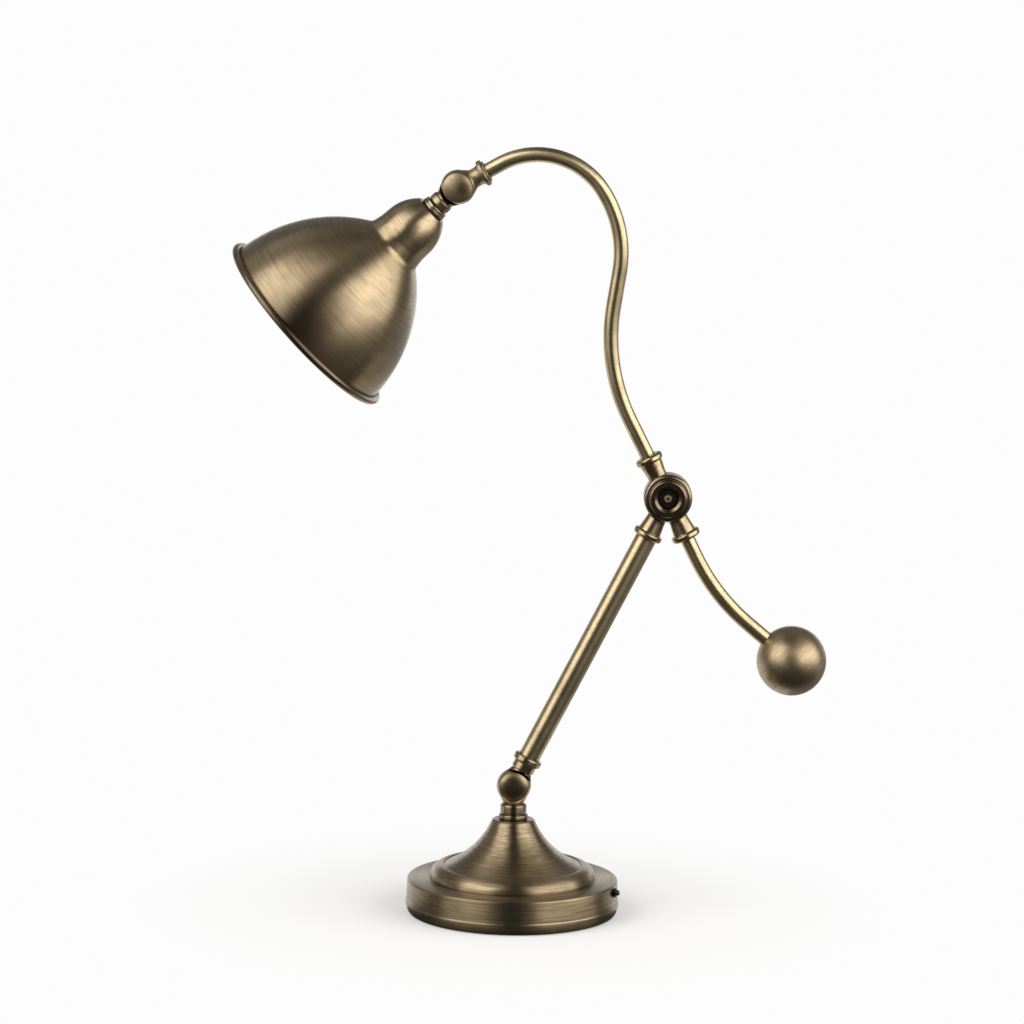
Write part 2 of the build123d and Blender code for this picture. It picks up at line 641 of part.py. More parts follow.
# ================================================================ knuckles
def knuckle_half(pivot, outward, neck, neck_radius):
    """Half of a ball knuckle with a crowned face, flared into its neck."""
    with BuildSketch(axial_plane(pivot, neck, outward)) as flare:
        with BuildLine():
            Polyline((0, 0), (FLARE_ROOT_RADIUS, FLARE_ROOT), (neck_radius, NECK_START), (0, NECK_START), close=True)
        make_face()
    revolve(flare.sketch, axis=Axis(pivot, neck))
    trim = [
        (0, KNUCKLE_FACE),
        (KNUCKLE_FACE_RADIUS, KNUCKLE_FACE),
        (KNUCKLE_FACE_RADIUS + KNUCKLE_FACE, 2 * KNUCKLE_FACE),
        (0, 2 * KNUCKLE_FACE),
    ]
    turn(axial_plane(pivot, outward, neck), trim, mode=Mode.SUBTRACT)
    crown = KNUCKLE_FACE + KNUCKLE_CROWN
    with BuildSketch(axial_plane(pivot, outward, neck)) as ball:
        with BuildLine():
            flat = Line((0, disc_half), (sqrt(KNUCKLE_RADIUS**2 - disc_half**2), disc_half))
            side = RadiusArc(flat @ 1, (KNUCKLE_FACE_RADIUS, KNUCKLE_FACE), -KNUCKLE_RADIUS)
            edge = Line(side @ 1, (KNUCKLE_CROWN_RADIUS, crown))
            dome = TangentArc((0, crown + KNUCKLE_DOME), edge @ 1, tangent=(1, 0))
            Line(dome @ 0, flat @ 0)
        make_face()
        rim = ball.vertices().filter_by_position(Axis.X, KNUCKLE_CROWN_RADIUS / 2, KNUCKLE_FACE_RADIUS + FIT)
        fillet(rim, KNUCKLE_EDGE)
    revolve(ball.sketch, axis=Axis(pivot, outward))


def clear_other_half(pivot, outward, radius, split):
    """Cut the room in which the other half of a joint turns."""
    rod(pivot, outward, -2 * radius, split, radius + SWING_GAP, Mode.SUBTRACT)


def pivot_recess(pivot, outward):
    """Bore and counterbore for a pivot screw in the rear half of a knuckle."""
    rod(pivot, outward, 0, KNUCKLE_RADIUS, PIVOT_RADIUS + FIT, Mode.SUBTRACT)
    rod(pivot, outward, recess_floor, KNUCKLE_RADIUS, RECESS_RADIUS, Mode.SUBTRACT)


def pivot_screw(pivot, outward):
    """Slotted pivot screw, from its head in the rear half into the front half."""
    head = recess_floor + SPRING_THICKNESS + 2 * SEAT_GAP
    rod(pivot, outward, -PIVOT_DEPTH, head, PIVOT_RADIUS)
    rod(pivot, outward, head, head + PIVOT_HEAD_HEIGHT, PIVOT_HEAD_RADIUS)
    with BuildSketch(Plane(origin=pivot + outward * (head + PIVOT_HEAD_HEIGHT), z_dir=outward)) as slot:
        Rectangle(4 * PIVOT_HEAD_RADIUS, PIVOT_SLOT)
    extrude(slot.sketch, amount=-PIVOT_HEAD_HEIGHT / 2, mode=Mode.SUBTRACT)


def ring(pivot, outward, start, end, radius, bore):
    """Flat washer or disc on a joint's axis."""
    with BuildSketch(Plane(origin=pivot + outward * start, z_dir=outward)) as section:
        Circle(radius)
        Circle(bore + FIT, mode=Mode.SUBTRACT)
    extrude(section.sketch, amount=end - start)


recess_floor = KNUCKLE_FACE + KNUCKLE_CROWN - RECESS_DEPTH
clear_radius = KNUCKLE_RADIUS + SWING_GAP

# ---------------------------------------------------------------- lower knuckle
with BuildPart() as base_knuckle:
    knuckle_half(low_pivot, FRONT, -UP, NECK_RADIUS)
    rod(low_pivot, -UP, NECK_START - 1, PIVOT_HEIGHT - NECK_TOP, NECK_RADIUS)
    rod(low_pivot, -UP, NECK_START - 1, PIVOT_HEIGHT - nipple_top - SEAT_GAP, NIPPLE_RADIUS)
    clear_other_half(low_pivot, FRONT, KNUCKLE_RADIUS, disc_half)
    rod(low_pivot, -UP, NECK_START, PIVOT_HEIGHT, NIPPLE_BORE, Mode.SUBTRACT)
    rod(low_pivot, FRONT, 0, PIVOT_DEPTH + SEAT_GAP, PIVOT_RADIUS + FIT, Mode.SUBTRACT)
save(base_knuckle, "base_knuckle")

with BuildPart() as base_pivot_screw:
    pivot_screw(low_pivot, BACK)
save(base_pivot_screw, "base_pivot_screw")

with BuildPart() as base_spring_washer:
    ring(
        low_pivot,
        BACK,
        recess_floor + SEAT_GAP,
        recess_floor + SEAT_GAP + SPRING_THICKNESS,
        PIVOT_HEAD_RADIUS,
        PIVOT_RADIUS,
    )
save(base_spring_washer, "base_spring_washer")

with BuildPart() as base_friction_disc:
    ring(low_pivot, BACK, -disc_half, disc_half - FACE_GAP, DISC_RADIUS, PIVOT_RADIUS)
save(base_friction_disc, "base_friction_disc")

# ================================================================ arm
arm_tube_start = ARM_COLLAR_START + SEAT_GAP
arm_tube_end = ARM_LENGTH - SOCKET_END + ARM_SEAT_DEPTH
lead_start = clear_radius + LEAD_SLACK
hub_clear = HUB_RADIUS + SWING_GAP

with BuildPart() as arm_knuckle:
    knuckle_half(low_pivot, BACK, arm_up, NECK_RADIUS)
    turn(
        axial_plane(low_pivot, arm_up, FRONT),
        [
            (0, NECK_START - 1),
            (NECK_RADIUS, NECK_START - 1),
            (NECK_RADIUS, ARM_BARREL_START),
            (ARM_BARREL_RADIUS, ARM_BARREL_START),
            (ARM_BARREL_RADIUS, ARM_COLLAR_START),
            (ARM_TUBE_RADIUS - ARM_TUBE_WALL - FIT, ARM_COLLAR_START),
            (ARM_TUBE_RADIUS - ARM_TUBE_WALL - FIT, ARM_COLLAR_START + 2 * ARM_SEAT_DEPTH),
            (0, ARM_COLLAR_START + 2 * ARM_SEAT_DEPTH),
        ],
        [0, 0, 0.3, 0.7, 0.7, 0, 0.5, 0],
    )
    clear_other_half(low_pivot, BACK, KNUCKLE_RADIUS, disc_half)
    rod(low_pivot, arm_up, NECK_START, ARM_LENGTH / 2, NIPPLE_BORE, Mode.SUBTRACT)
    pivot_recess(low_pivot, BACK)
save(arm_knuckle, "arm_knuckle")

with BuildPart() as arm_collar:
    turn(
        axial_plane(low_pivot, arm_up, FRONT),
        [
            (ARM_TUBE_RADIUS + FIT, ARM_COLLAR_START + SEAT_GAP),
            (ARM_COLLAR_RADIUS, ARM_COLLAR_START + SEAT_GAP),
            (ARM_COLLAR_RADIUS, ARM_COLLAR_END),
            (ARM_TUBE_RADIUS + FIT, ARM_COLLAR_END),
        ],
        [0, 1.4, 1.4, 0],
    )
save(arm_collar, "arm_collar")

with BuildPart() as arm_tube:
    with BuildSketch(Plane(origin=low_pivot + arm_up * arm_tube_start, z_dir=arm_up)):
        Circle(ARM_TUBE_RADIUS)
        Circle(ARM_TUBE_RADIUS - ARM_TUBE_WALL, mode=Mode.SUBTRACT)
    extrude(amount=arm_tube_end - arm_tube_start)
save(arm_tube, "arm_tube")

with BuildPart() as arm_lead:
    rod(low_pivot, arm_up, lead_start, ARM_LENGTH - hub_clear - LEAD_SLACK, LEAD_RADIUS)
save(arm_lead, "arm_lead")


# ================================================================ hub
def hub_half(outward, sockets):
    """Half of the hub, with a socket for each (direction, ring radius, tube radius, seat depth)."""
    with BuildSketch(axial_plane(hub_pivot, outward, UP)) as body:
        with BuildLine():
            Polyline(
                (0, HUB_SPLIT),
                (HUB_RADIUS, HUB_SPLIT),
                (HUB_RADIUS, HUB_SHOULDER),
                (LIP_RADIUS, HUB_SHOULDER),
                (LIP_RADIUS, LIP_HEIGHT),
                (LIP_INNER_RADIUS, LIP_HEIGHT),
                (HUB_RECESS_RADIUS, HUB_RECESS_EDGE),
                (HUB_RECESS_RADIUS, HUB_RECESS_FLOOR),
                (0, HUB_RECESS_FLOOR),
                close=True,
            )
        make_face()
        fillet(body.vertices().sort_by_distance((HUB_RADIUS, HUB_SHOULDER))[0], HUB_CURVE)
        fillet(body.vertices().sort_by_distance((LIP_RADIUS, LIP_HEIGHT))[0], LIP_CURVE)
        fillet(body.vertices().sort_by_distance((LIP_RADIUS, HUB_SHOULDER))[0], LIP_CURVE / 3)
        fillet(body.vertices().sort_by_distance((LIP_INNER_RADIUS, LIP_HEIGHT))[0], LIP_CURVE / 3)
    revolve(body.sketch, axis=Axis(hub_pivot, outward))
    for direction, ring_radius, tube_radius, depth in sockets:
        turn(
            axial_plane(hub_pivot, direction, FRONT),
            [
                (0, SOCKET_START),
                (SOCKET_WAIST, SOCKET_START),
                (SOCKET_WAIST, SOCKET_WAIST_END),
                (SOCKET_FLARE, SOCKET_END - SOCKET_RING_HEIGHT),
                (ring_radius, SOCKET_END - SOCKET_RING_HEIGHT),
                (ring_radius, SOCKET_END),
                (0, SOCKET_END),
            ],
            [0, 0, SOCKET_WAIST_CURVE, 0.5, SOCKET_RING_CURVE - 0.4, SOCKET_RING_CURVE, 0],
        )
    clear_other_half(hub_pivot, outward, HUB_RADIUS, HUB_SPLIT)
    for direction, ring_radius, tube_radius, depth in sockets:
        rod(hub_pivot, direction, SOCKET_END - depth, SOCKET_END, tube_radius + FIT, Mode.SUBTRACT)
        rod(hub_pivot, direction, HUB_RADIUS, SOCKET_END, NIPPLE_BORE, Mode.SUBTRACT)
    rod(hub_pivot, outward, 0, HUB_RECESS_FLOOR + 1, BOLT_RADIUS + FIT, Mode.SUBTRACT)


with BuildPart() as arm_hub:
    hub_half(BACK, [(-arm_up, ARM_RING_RADIUS, ARM_TUBE_RADIUS, ARM_SEAT_DEPTH + SEAT_GAP)])
save(arm_hub, "arm_hub")

with BuildPart() as beam_hub:
    beam_seat = BEAM_SEAT_DEPTH + SEAT_GAP
    hub_half(
        FRONT,
        [
            (beam_out, BEAM_RING_RADIUS, BEAM_TUBE_RADIUS, beam_seat),
            (counter_out, COUNTER_RING_RADIUS, BEAM_TUBE_RADIUS, beam_seat),
        ],
    )
save(beam_hub, "beam_hub")

with BuildPart() as hub_bolt:
    rod(hub_pivot, FRONT, -HUB_RECESS_FLOOR - 2 * SEAT_GAP, BOLT_END, BOLT_RADIUS)
    chamfer(hub_bolt.edges().group_by(Axis.Y)[0], BOLT_DIMPLE_RADIUS)
    rod(hub_pivot, FRONT, BOLT_END - BOLT_DIMPLE_DEPTH, BOLT_END, BOLT_DIMPLE_RADIUS, Mode.SUBTRACT)
    turn(
        axial_plane(hub_pivot, BACK, UP),
        [
            (0, HUB_RECESS_FLOOR + SEAT_GAP),
            (BOLT_HEAD_RADIUS, HUB_RECESS_FLOOR + SEAT_GAP),
            (BOLT_HEAD_RADIUS, HUB_RECESS_FLOOR + BOLT_HEAD_HEIGHT),
            (0, HUB_RECESS_FLOOR + BOLT_HEAD_HEIGHT),
        ],
        [0, 0, BOLT_HEAD_HEIGHT / 2, 0],
    )
    with BuildSketch(Plane(origin=hub_pivot + BACK * (HUB_RECESS_FLOOR + BOLT_HEAD_HEIGHT), z_dir=BACK)) as slot:
        Rectangle(4 * BOLT_HEAD_RADIUS, BOLT_SLOT)
    extrude(slot.sketch, amount=-BOLT_HEAD_HEIGHT / 2, mode=Mode.SUBTRACT)
save(hub_bolt, "hub_bolt")

spring_seat = HUB_RECESS_FLOOR + SEAT_GAP
with BuildPart() as hub_springs:
    for layer in range(2):
        layer_floor = spring_seat + layer * (SPRING_THICKNESS + SEAT_GAP)
        ring(hub_pivot, FRONT, layer_floor, layer_floor + SPRING_THICKNESS, LOCK_NUT_RADIUS - layer, BOLT_RADIUS)
save(hub_springs, "hub_springs")

with BuildPart() as hub_nut:
    nut_floor = spring_seat + 2 * (SPRING_THICKNESS + SEAT_GAP)
    ring(hub_pivot, FRONT, nut_floor, nut_floor + LOCK_NUT_HEIGHT, LOCK_NUT_RADIUS, BOLT_RADIUS)
    chamfer(hub_nut.edges().group_by(Axis.Y)[0].sort_by(SortBy.RADIUS)[-1], SPRING_THICKNESS)
save(hub_nut, "hub_nut")

with BuildPart() as hub_friction_disc:
    ring(hub_pivot, FRONT, FACE_GAP - HUB_SPLIT, HUB_SPLIT, HUB_DISC_RADIUS, BOLT_RADIUS)
save(hub_friction_disc, "hub_friction_disc")

# ================================================================ beam
with BuildPart() as gooseneck_tube:
    tube(gooseneck_line(SOCKET_END - BEAM_SEAT_DEPTH, HEAD_SEAT), BEAM_TUBE_RADIUS, BEAM_TUBE_WALL)
save(gooseneck_tube, "gooseneck_tube")

with BuildPart() as beam_lead:
    tube(gooseneck_line(hub_clear + LEAD_SLACK, lead_start), LEAD_RADIUS, 0)
save(beam_lead, "beam_lead")

with BuildPart() as counter_tube:
    tube(counter_line(SOCKET_END - BEAM_SEAT_DEPTH, BALL_SEAT), BEAM_TUBE_RADIUS, BEAM_TUBE_WALL)
save(counter_tube, "counter_tube")

with BuildPart() as counter_stud:
    rod(ball_centre, -ball_in, BALL_SEAT, BALL_SEAT + STUD_LENGTH_IN_TUBE, BEAM_TUBE_RADIUS - BEAM_TUBE_WALL - FIT)
    rod(ball_centre, -ball_in, BALL_SEAT - STUD_LENGTH_IN_BALL, BALL_SEAT, STUD_RADIUS)
save(counter_stud, "counter_stud")

with BuildPart() as counterweight:
    with Locations(ball_centre):
        Sphere(BALL_RADIUS)
    rod(ball_centre, -ball_in, BALL_SEAT - SEAT_GAP, BALL_RADIUS + 1, BEAM_TUBE_RADIUS + FIT, Mode.SUBTRACT)
    rod(
        ball_centre,
        -ball_in,
        BALL_SEAT - STUD_LENGTH_IN_BALL - 1,
        BALL_RADIUS,
        STUD_RADIUS + FIT,
        Mode.SUBTRACT,
    )
save(counterweight, "counterweight")

# ---------------------------------------------------------------- head knuckle
with BuildPart() as beam_knuckle:
    knuckle_half(head_pivot, head_front, -neck_end, HEAD_WAIST_RADIUS)
    turn(
        axial_plane(head_pivot, -neck_end, head_front),
        [
            (0, NECK_START - 1),
            (HEAD_WAIST_RADIUS, NECK_START - 1),
            (HEAD_WAIST_RADIUS, HEAD_WAIST_END),
            (HEAD_FLARE_RADIUS, HEAD_RING_START),
            (HEAD_RING_RADIUS, HEAD_RING_START),
            (HEAD_RING_RADIUS, HEAD_LIP_START),
            (HEAD_LIP_RADIUS, HEAD_LIP_START),
            (HEAD_LIP_RADIUS, HEAD_RING_END),
            (0, HEAD_RING_END),
        ],
        [0, 0, 3, 0.3, 0.9, 0.9, 0.2, 0.6, 0],
    )
    clear_other_half(head_pivot, head_front, KNUCKLE_RADIUS, disc_half)
    rod(head_pivot, -neck_end, HEAD_SEAT - SEAT_GAP, HEAD_RING_END, BEAM_TUBE_RADIUS + FIT, Mode.SUBTRACT)
    rod(head_pivot, -neck_end, NECK_START, HEAD_RING_END, NIPPLE_BORE, Mode.SUBTRACT)
    rod(head_pivot, head_front, 0, PIVOT_DEPTH + SEAT_GAP, PIVOT_RADIUS + FIT, Mode.SUBTRACT)
save(beam_knuckle, "beam_knuckle")

with BuildPart() as head_pivot_screw:
    pivot_screw(head_pivot, -head_front)
save(head_pivot_screw, "head_pivot_screw")

with BuildPart() as head_friction_disc:
    ring(head_pivot, -head_front, -disc_half, disc_half - FACE_GAP, DISC_RADIUS, PIVOT_RADIUS)
save(head_friction_disc, "head_friction_disc")

# ================================================================ head
head_plane = axial_plane(head_pivot, shade_out, head_front)

with BuildPart() as head_knuckle:
    knuckle_half(head_pivot, -head_front, shade_out, NECK_RADIUS)
    turn(
        head_plane,
        [
            (0, NECK_START - 1),
            (NECK_RADIUS, NECK_START - 1),
            (NECK_RADIUS, SHADE_BEAD_START),
            (SHADE_BEAD_RADIUS, SHADE_BEAD_START),
            (SHADE_BEAD_RADIUS, SHADE_NECK_END),
            (0, SHADE_NECK_END),
        ],
        [0, 0, 0.3, 0.8, 2.0, 0],
    )
    clear_other_half(head_pivot, -head_front, KNUCKLE_RADIUS, disc_half)
    rod(head_pivot, shade_out, HEAD_SEAT - SEAT_GAP, SHADE_NECK_END, NIPPLE_RADIUS + FIT, Mode.SUBTRACT)
    rod(head_pivot, shade_out, NECK_START, SHADE_NECK_END, NIPPLE_BORE, Mode.SUBTRACT)
    pivot_recess(head_pivot, -head_front)
save(head_knuckle, "head_knuckle")

with BuildPart() as head_spring_washer:
    ring(
        head_pivot,
        -head_front,
        recess_floor + SEAT_GAP,
        recess_floor + SEAT_GAP + SPRING_THICKNESS,
        PIVOT_HEAD_RADIUS,
        PIVOT_RADIUS,
    )
save(head_spring_washer, "head_spring_washer")

with BuildPart() as shade_collar:
    turn(
        head_plane,
        [
            (NIPPLE_RADIUS + FIT, SHADE_NECK_END + SEAT_GAP),
            (SHADE_COLLAR_RADIUS - SHADE_COLLAR_GROOVE, SHADE_NECK_END + SEAT_GAP),
            (SHADE_COLLAR_RADIUS - SHADE_COLLAR_GROOVE, SHADE_COLLAR_STEP),
            (SHADE_COLLAR_RADIUS, SHADE_COLLAR_STEP),
            (SHADE_COLLAR_RADIUS, SHADE_COLLAR_END),
            (NIPPLE_RADIUS + FIT, SHADE_COLLAR_END),
        ],
        [0, 0.8, 0.2, 0.3, 0.6, 0],
    )
save(shade_collar, "shade_collar")

with BuildPart() as shade_washer:
    ring(
        head_pivot,
        shade_out,
        SHADE_COLLAR_END + SEAT_GAP,
        SHADE_WASHER_END - SEAT_GAP,
        SHADE_WASHER_RADIUS,
        NIPPLE_RADIUS,
    )
save(shade_washer, "shade_washer")

shade_rim = SHADE_WASHER_END + SHADE_DEPTH
with BuildPart() as shade:
    with BuildSketch(head_plane) as shade_skin:
        with BuildLine() as skin:
            bell = RadiusArc((BELL_RADIUS, shade_rim), (CUP_ROOT_RADIUS, shade_rim - CUP_ROOT), BELL_CURVE)
            neck = Line(bell @ 1, (CUP_RADIUS, shade_rim - CUP_START))
            cup = Line(neck @ 1, (CUP_SHOULDER_RADIUS, shade_rim - CUP_SHOULDER))
            brow = TangentArc(cup @ 1, (CUP_TOP_RADIUS, SHADE_WASHER_END), tangent=cup % 1)
            Line(brow @ 1, (NIPPLE_RADIUS + FIT, SHADE_WASHER_END))
            offset(skin.line, amount=SHADE_WALL, side=Side.RIGHT)
        make_face()
        with Locations((RIM_RADIUS, shade_rim)):
            Circle(RIM_BEAD_RADIUS)
    revolve(shade_skin.sketch, axis=Axis(head_pivot, shade_out))
save(shade, "shade")

# ---------------------------------------------------------------- lampholder
nut_start = SHADE_WASHER_END + SHADE_WALL + SEAT_GAP
holder_start = nut_start + HOLDER_NUT_HEIGHT + SEAT_GAP
holder_body_start = holder_start + HOLDER_CAP_LENGTH
holder_bore = BULB_CAP_RADIUS + SLEEVE_WALL + 2 * FIT
holder_floor = holder_body_start + SEAT_GAP + HOLDER_FLOOR
holder_end = holder_body_start + SEAT_GAP + HOLDER_LENGTH

with BuildPart() as head_nipple:
    rod(head_pivot, shade_out, HEAD_SEAT, holder_start + HOLDER_CAP_LENGTH / 2, NIPPLE_RADIUS)
    rod(head_pivot, shade_out, HEAD_SEAT, holder_start + HOLDER_CAP_LENGTH, NIPPLE_BORE, Mode.SUBTRACT)
save(head_nipple, "head_nipple")

with BuildPart() as head_nut:
    with BuildSketch(Plane(origin=head_pivot + shade_out * nut_start, z_dir=shade_out)):
        RegularPolygon(NUT_SIDE / 2, 6, major_radius=False)
        Circle(NIPPLE_RADIUS + FIT, mode=Mode.SUBTRACT)
    extrude(amount=HOLDER_NUT_HEIGHT)
save(head_nut, "head_nut")

with BuildPart() as head_lead:
    rod(head_pivot, shade_out, lead_start, holder_start + HOLDER_CAP_LENGTH / 2, LEAD_RADIUS)
save(head_lead, "head_lead")

with BuildPart() as holder_cap:
    turn(
        head_plane,
        [
            (NIPPLE_RADIUS + FIT, holder_start),
            (HOLDER_NUT_RADIUS, holder_start),
            (HOLDER_RADIUS, holder_body_start - HOLDER_WALL),
            (HOLDER_RADIUS, holder_body_start),
            (HOLDER_RADIUS - HOLDER_WALL, holder_body_start),
            (HOLDER_NUT_RADIUS, holder_start + 2 * HOLDER_WALL),
            (NIPPLE_RADIUS + FIT, holder_start + 2 * HOLDER_WALL),
        ],
        [0, 0.8, 1.5, 0, 0, 0.8, 0],
    )
save(holder_cap, "holder_cap")

with BuildPart() as holder_body:
    turn(
        head_plane,
        [
            (0, holder_body_start + SEAT_GAP),
            (HOLDER_RADIUS, holder_body_start + SEAT_GAP),
            (HOLDER_RADIUS, holder_end),
            (holder_bore, holder_end),
            (holder_bore, holder_floor),
            (0, holder_floor),
        ],
        [0, 0, 1.0, 0.8, 0, 0],
    )
save(holder_body, "holder_body")

with BuildPart() as holder_sleeve:
    ring(
        head_pivot,
        shade_out,
        holder_floor + SEAT_GAP,
        holder_floor + SEAT_GAP + SLEEVE_LENGTH,
        BULB_CAP_RADIUS + SLEEVE_WALL + FIT,
        BULB_CAP_RADIUS,
    )
save(holder_sleeve, "holder_sleeve")

with BuildPart() as holder_contact:
    rod(head_pivot, shade_out, holder_floor, holder_floor + CONTACT_HEIGHT, CONTACT_RADIUS)
save(holder_contact, "holder_contact")

# ---------------------------------------------------------------- bulb
tip_start = holder_floor + CONTACT_HEIGHT + SEAT_GAP
cap_start = tip_start + BULB_TIP_LENGTH
cap_end = cap_start + BULB_CAP_LENGTH
bulb_middle = cap_end + BULB_LENGTH - BULB_RADIUS

with BuildPart() as bulb_contact:
    turn(
        head_plane,
        [(0, tip_start), (CONTACT_RADIUS, tip_start), (BULB_CAP_RADIUS - BULB_CAP_WALL, cap_start), (0, cap_start)],
        [0, 0.8, 0, 0],
    )
save(bulb_contact, "bulb_contact")

with BuildPart() as bulb_cap:
    ring(head_pivot, shade_out, cap_start, cap_end, BULB_CAP_RADIUS, BULB_CAP_RADIUS - BULB_CAP_WALL - FIT)
save(bulb_cap, "bulb_cap")

with BuildPart() as bulb_glass:
    with BuildSketch(head_plane) as envelope:
        for inset, mode in ((0, Mode.ADD), (BULB_WALL, Mode.SUBTRACT)):
            with BuildLine():
                foot = Line((0, cap_start + SEAT_GAP), (BULB_NECK_RADIUS - inset, cap_start + SEAT_GAP))
                throat = Line(foot @ 1, (BULB_NECK_RADIUS - inset, cap_end))
                crown = CenterArc((0, bulb_middle), BULB_RADIUS - inset, 0, 90)
                Spline(throat @ 1, crown @ 0, tangents=((0, 1), (0, 1)))
                Line(crown @ 1, foot @ 0)
            make_face(mode=mode)
    revolve(envelope.sketch, axis=Axis(head_pivot, shade_out))
save(bulb_glass, "bulb_glass")
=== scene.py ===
"""Looks for a counterbalanced desk lamp in antique brass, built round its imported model.

Everything is in metres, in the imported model's frame. Turned pieces are spun from short outlines, bent tubes are
run along their straight runs and arcs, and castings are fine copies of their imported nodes.
"""

from math import ceil, cos, pi, radians, sin, tan

import bmesh
import bpy
from bpy.props import FloatProperty, FloatVectorProperty, IntProperty, PointerProperty
from bpy.types import Operator, Panel, PropertyGroup
from mathutils import Matrix, Vector


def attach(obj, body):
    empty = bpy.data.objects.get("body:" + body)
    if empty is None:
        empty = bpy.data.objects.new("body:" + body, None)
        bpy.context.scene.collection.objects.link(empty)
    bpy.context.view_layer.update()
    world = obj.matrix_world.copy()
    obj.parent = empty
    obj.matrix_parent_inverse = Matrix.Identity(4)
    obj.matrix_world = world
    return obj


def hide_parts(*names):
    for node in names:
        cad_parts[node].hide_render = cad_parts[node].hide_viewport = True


bl_info = {
    "name": "Counterbalanced desk lamp",
    "version": (1, 0, 0),
    "blender": (4, 5, 0),
    "location": "View3D > Sidebar > Lamp",
    "description": "Dresses the packed desk lamp in antique brass and sets it in a plain studio",
    "category": "Object",
}

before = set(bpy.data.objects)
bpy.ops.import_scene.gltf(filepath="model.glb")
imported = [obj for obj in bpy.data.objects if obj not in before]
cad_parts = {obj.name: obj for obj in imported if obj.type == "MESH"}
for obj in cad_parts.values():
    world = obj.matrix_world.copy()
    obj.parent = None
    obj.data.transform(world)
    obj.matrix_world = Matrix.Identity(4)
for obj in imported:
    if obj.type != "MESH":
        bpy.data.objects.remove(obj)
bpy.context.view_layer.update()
MM = 0.001

RIGHT = Vector((1, 0, 0))
FRONT = Vector((0, -1, 0))
UP = Vector((0, 0, 1))
SHARP = radians(32)  # edges that turn more than this stay crisp
FINE_ROUNDS = 96  # facets round a small turned piece
BALL_ROUNDS = 128
ARC_FACET = 2.5  # degrees of an outline's arc to a facet
BEND_FACET = radians(2)  # of a tube's bend
RUN_FACET = 0.02  # of a tube's straight run


def linear(code):
    """Turn an sRGB hex colour into linear red, green, blue and alpha."""
    parts = [int(code[place : place + 2], 16) / 255 for place in (1, 3, 5)]
    return (*[part / 12.92 if part <= 0.04045 else ((part + 0.055) / 1.055) ** 2.4 for part in parts], 1.0)


# ---------------------------------------------------------------- settings
class LampSizes(PropertyGroup):
    """Sizes of the lamp's main pieces."""

    pivot_height: FloatProperty(
        name="Pivot height", description="Lower knuckle's pivot above the table", default=0.0964, unit="LENGTH"
    )
    arm_angle: FloatProperty(
        name="Arm angle", description="Arm above the horizontal", default=radians(63.3), subtype="ANGLE"
    )
    arm_length: FloatProperty(
        name="Arm length", description="From the lower pivot to the hub's pivot", default=0.2468, unit="LENGTH"
    )
    beam_angle: FloatProperty(
        name="Beam angle", description="Gooseneck's socket above the horizontal", default=radians(117), subtype="ANGLE"
    )
    counter_angle: FloatProperty(
        name="Counter angle", description="Counter tube's socket", default=radians(-63.9), subtype="ANGLE"
    )
    gooseneck_turn: FloatProperty(
        name="Gooseneck turn", description="Gooseneck about its socket", default=radians(4.5), subtype="ANGLE"
    )
    shade_tilt: FloatProperty(
        name="Shade tilt", description="Shade below the end of the gooseneck", default=radians(13.1), subtype="ANGLE"
    )
    tube_radius: FloatProperty(
        name="Beam tube radius", description="Outside of the gooseneck and the counter tube", default=0.0056,
        unit="LENGTH",
    )
    ball_radius: FloatProperty(name="Ball radius", description="Counterweight", default=0.026, unit="LENGTH")
    turning_steps: IntProperty(
        name="Turning steps", description="Facets round a large turned piece", default=160, min=24, max=256
    )


class LampFinish(PropertyGroup):
    """Colours of the lamp's finishes."""

    brass: FloatVectorProperty(
        name="Brass", description="Antique brass where it is rubbed", subtype="COLOR", size=4,
        default=linear("#ae9a78"),
    )
    rubbed: FloatVectorProperty(
        name="Rubbed brass", description="Paler brass of the polished tubes and fittings", subtype="COLOR", size=4,
        default=linear("#ccb990"),
    )
    patina: FloatVectorProperty(
        name="Patina", description="Brown patina left by the ageing bath", subtype="COLOR", size=4,
        default=linear("#4e3e31"),
    )


def sizes():
    return bpy.context.scene.lamp_sizes


def finish():
    return bpy.context.scene.lamp_finish


# ---------------------------------------------------------------- places
def heading(angle):
    """Unit vector in the upright plane at an angle above +X."""
    return Vector((cos(angle), 0, sin(angle)))


def spot(origin, axis, side):
    """Place whose Z runs along a piece's axis and whose X points to a side of it."""
    up = axis.normalized()
    out = (side - up * side.dot(up)).normalized()
    return Matrix.Translation(origin) @ Matrix((out, up.cross(out), up)).transposed().to_4x4()


def follow(point, direction, normal, runs):
    """Where a tube's centreline ends, and its heading there. A run is a length, or a pair of angle and radius."""
    for run in runs:
        if isinstance(run, tuple):
            centre = point + normal.cross(direction) * (run[1] if run[0] > 0 else -run[1])
            turn = Matrix.Rotation(run[0], 3, normal)
            point, direction = centre + turn @ (point - centre), turn @ direction
        else:
            point = point + direction * run
    return point, direction


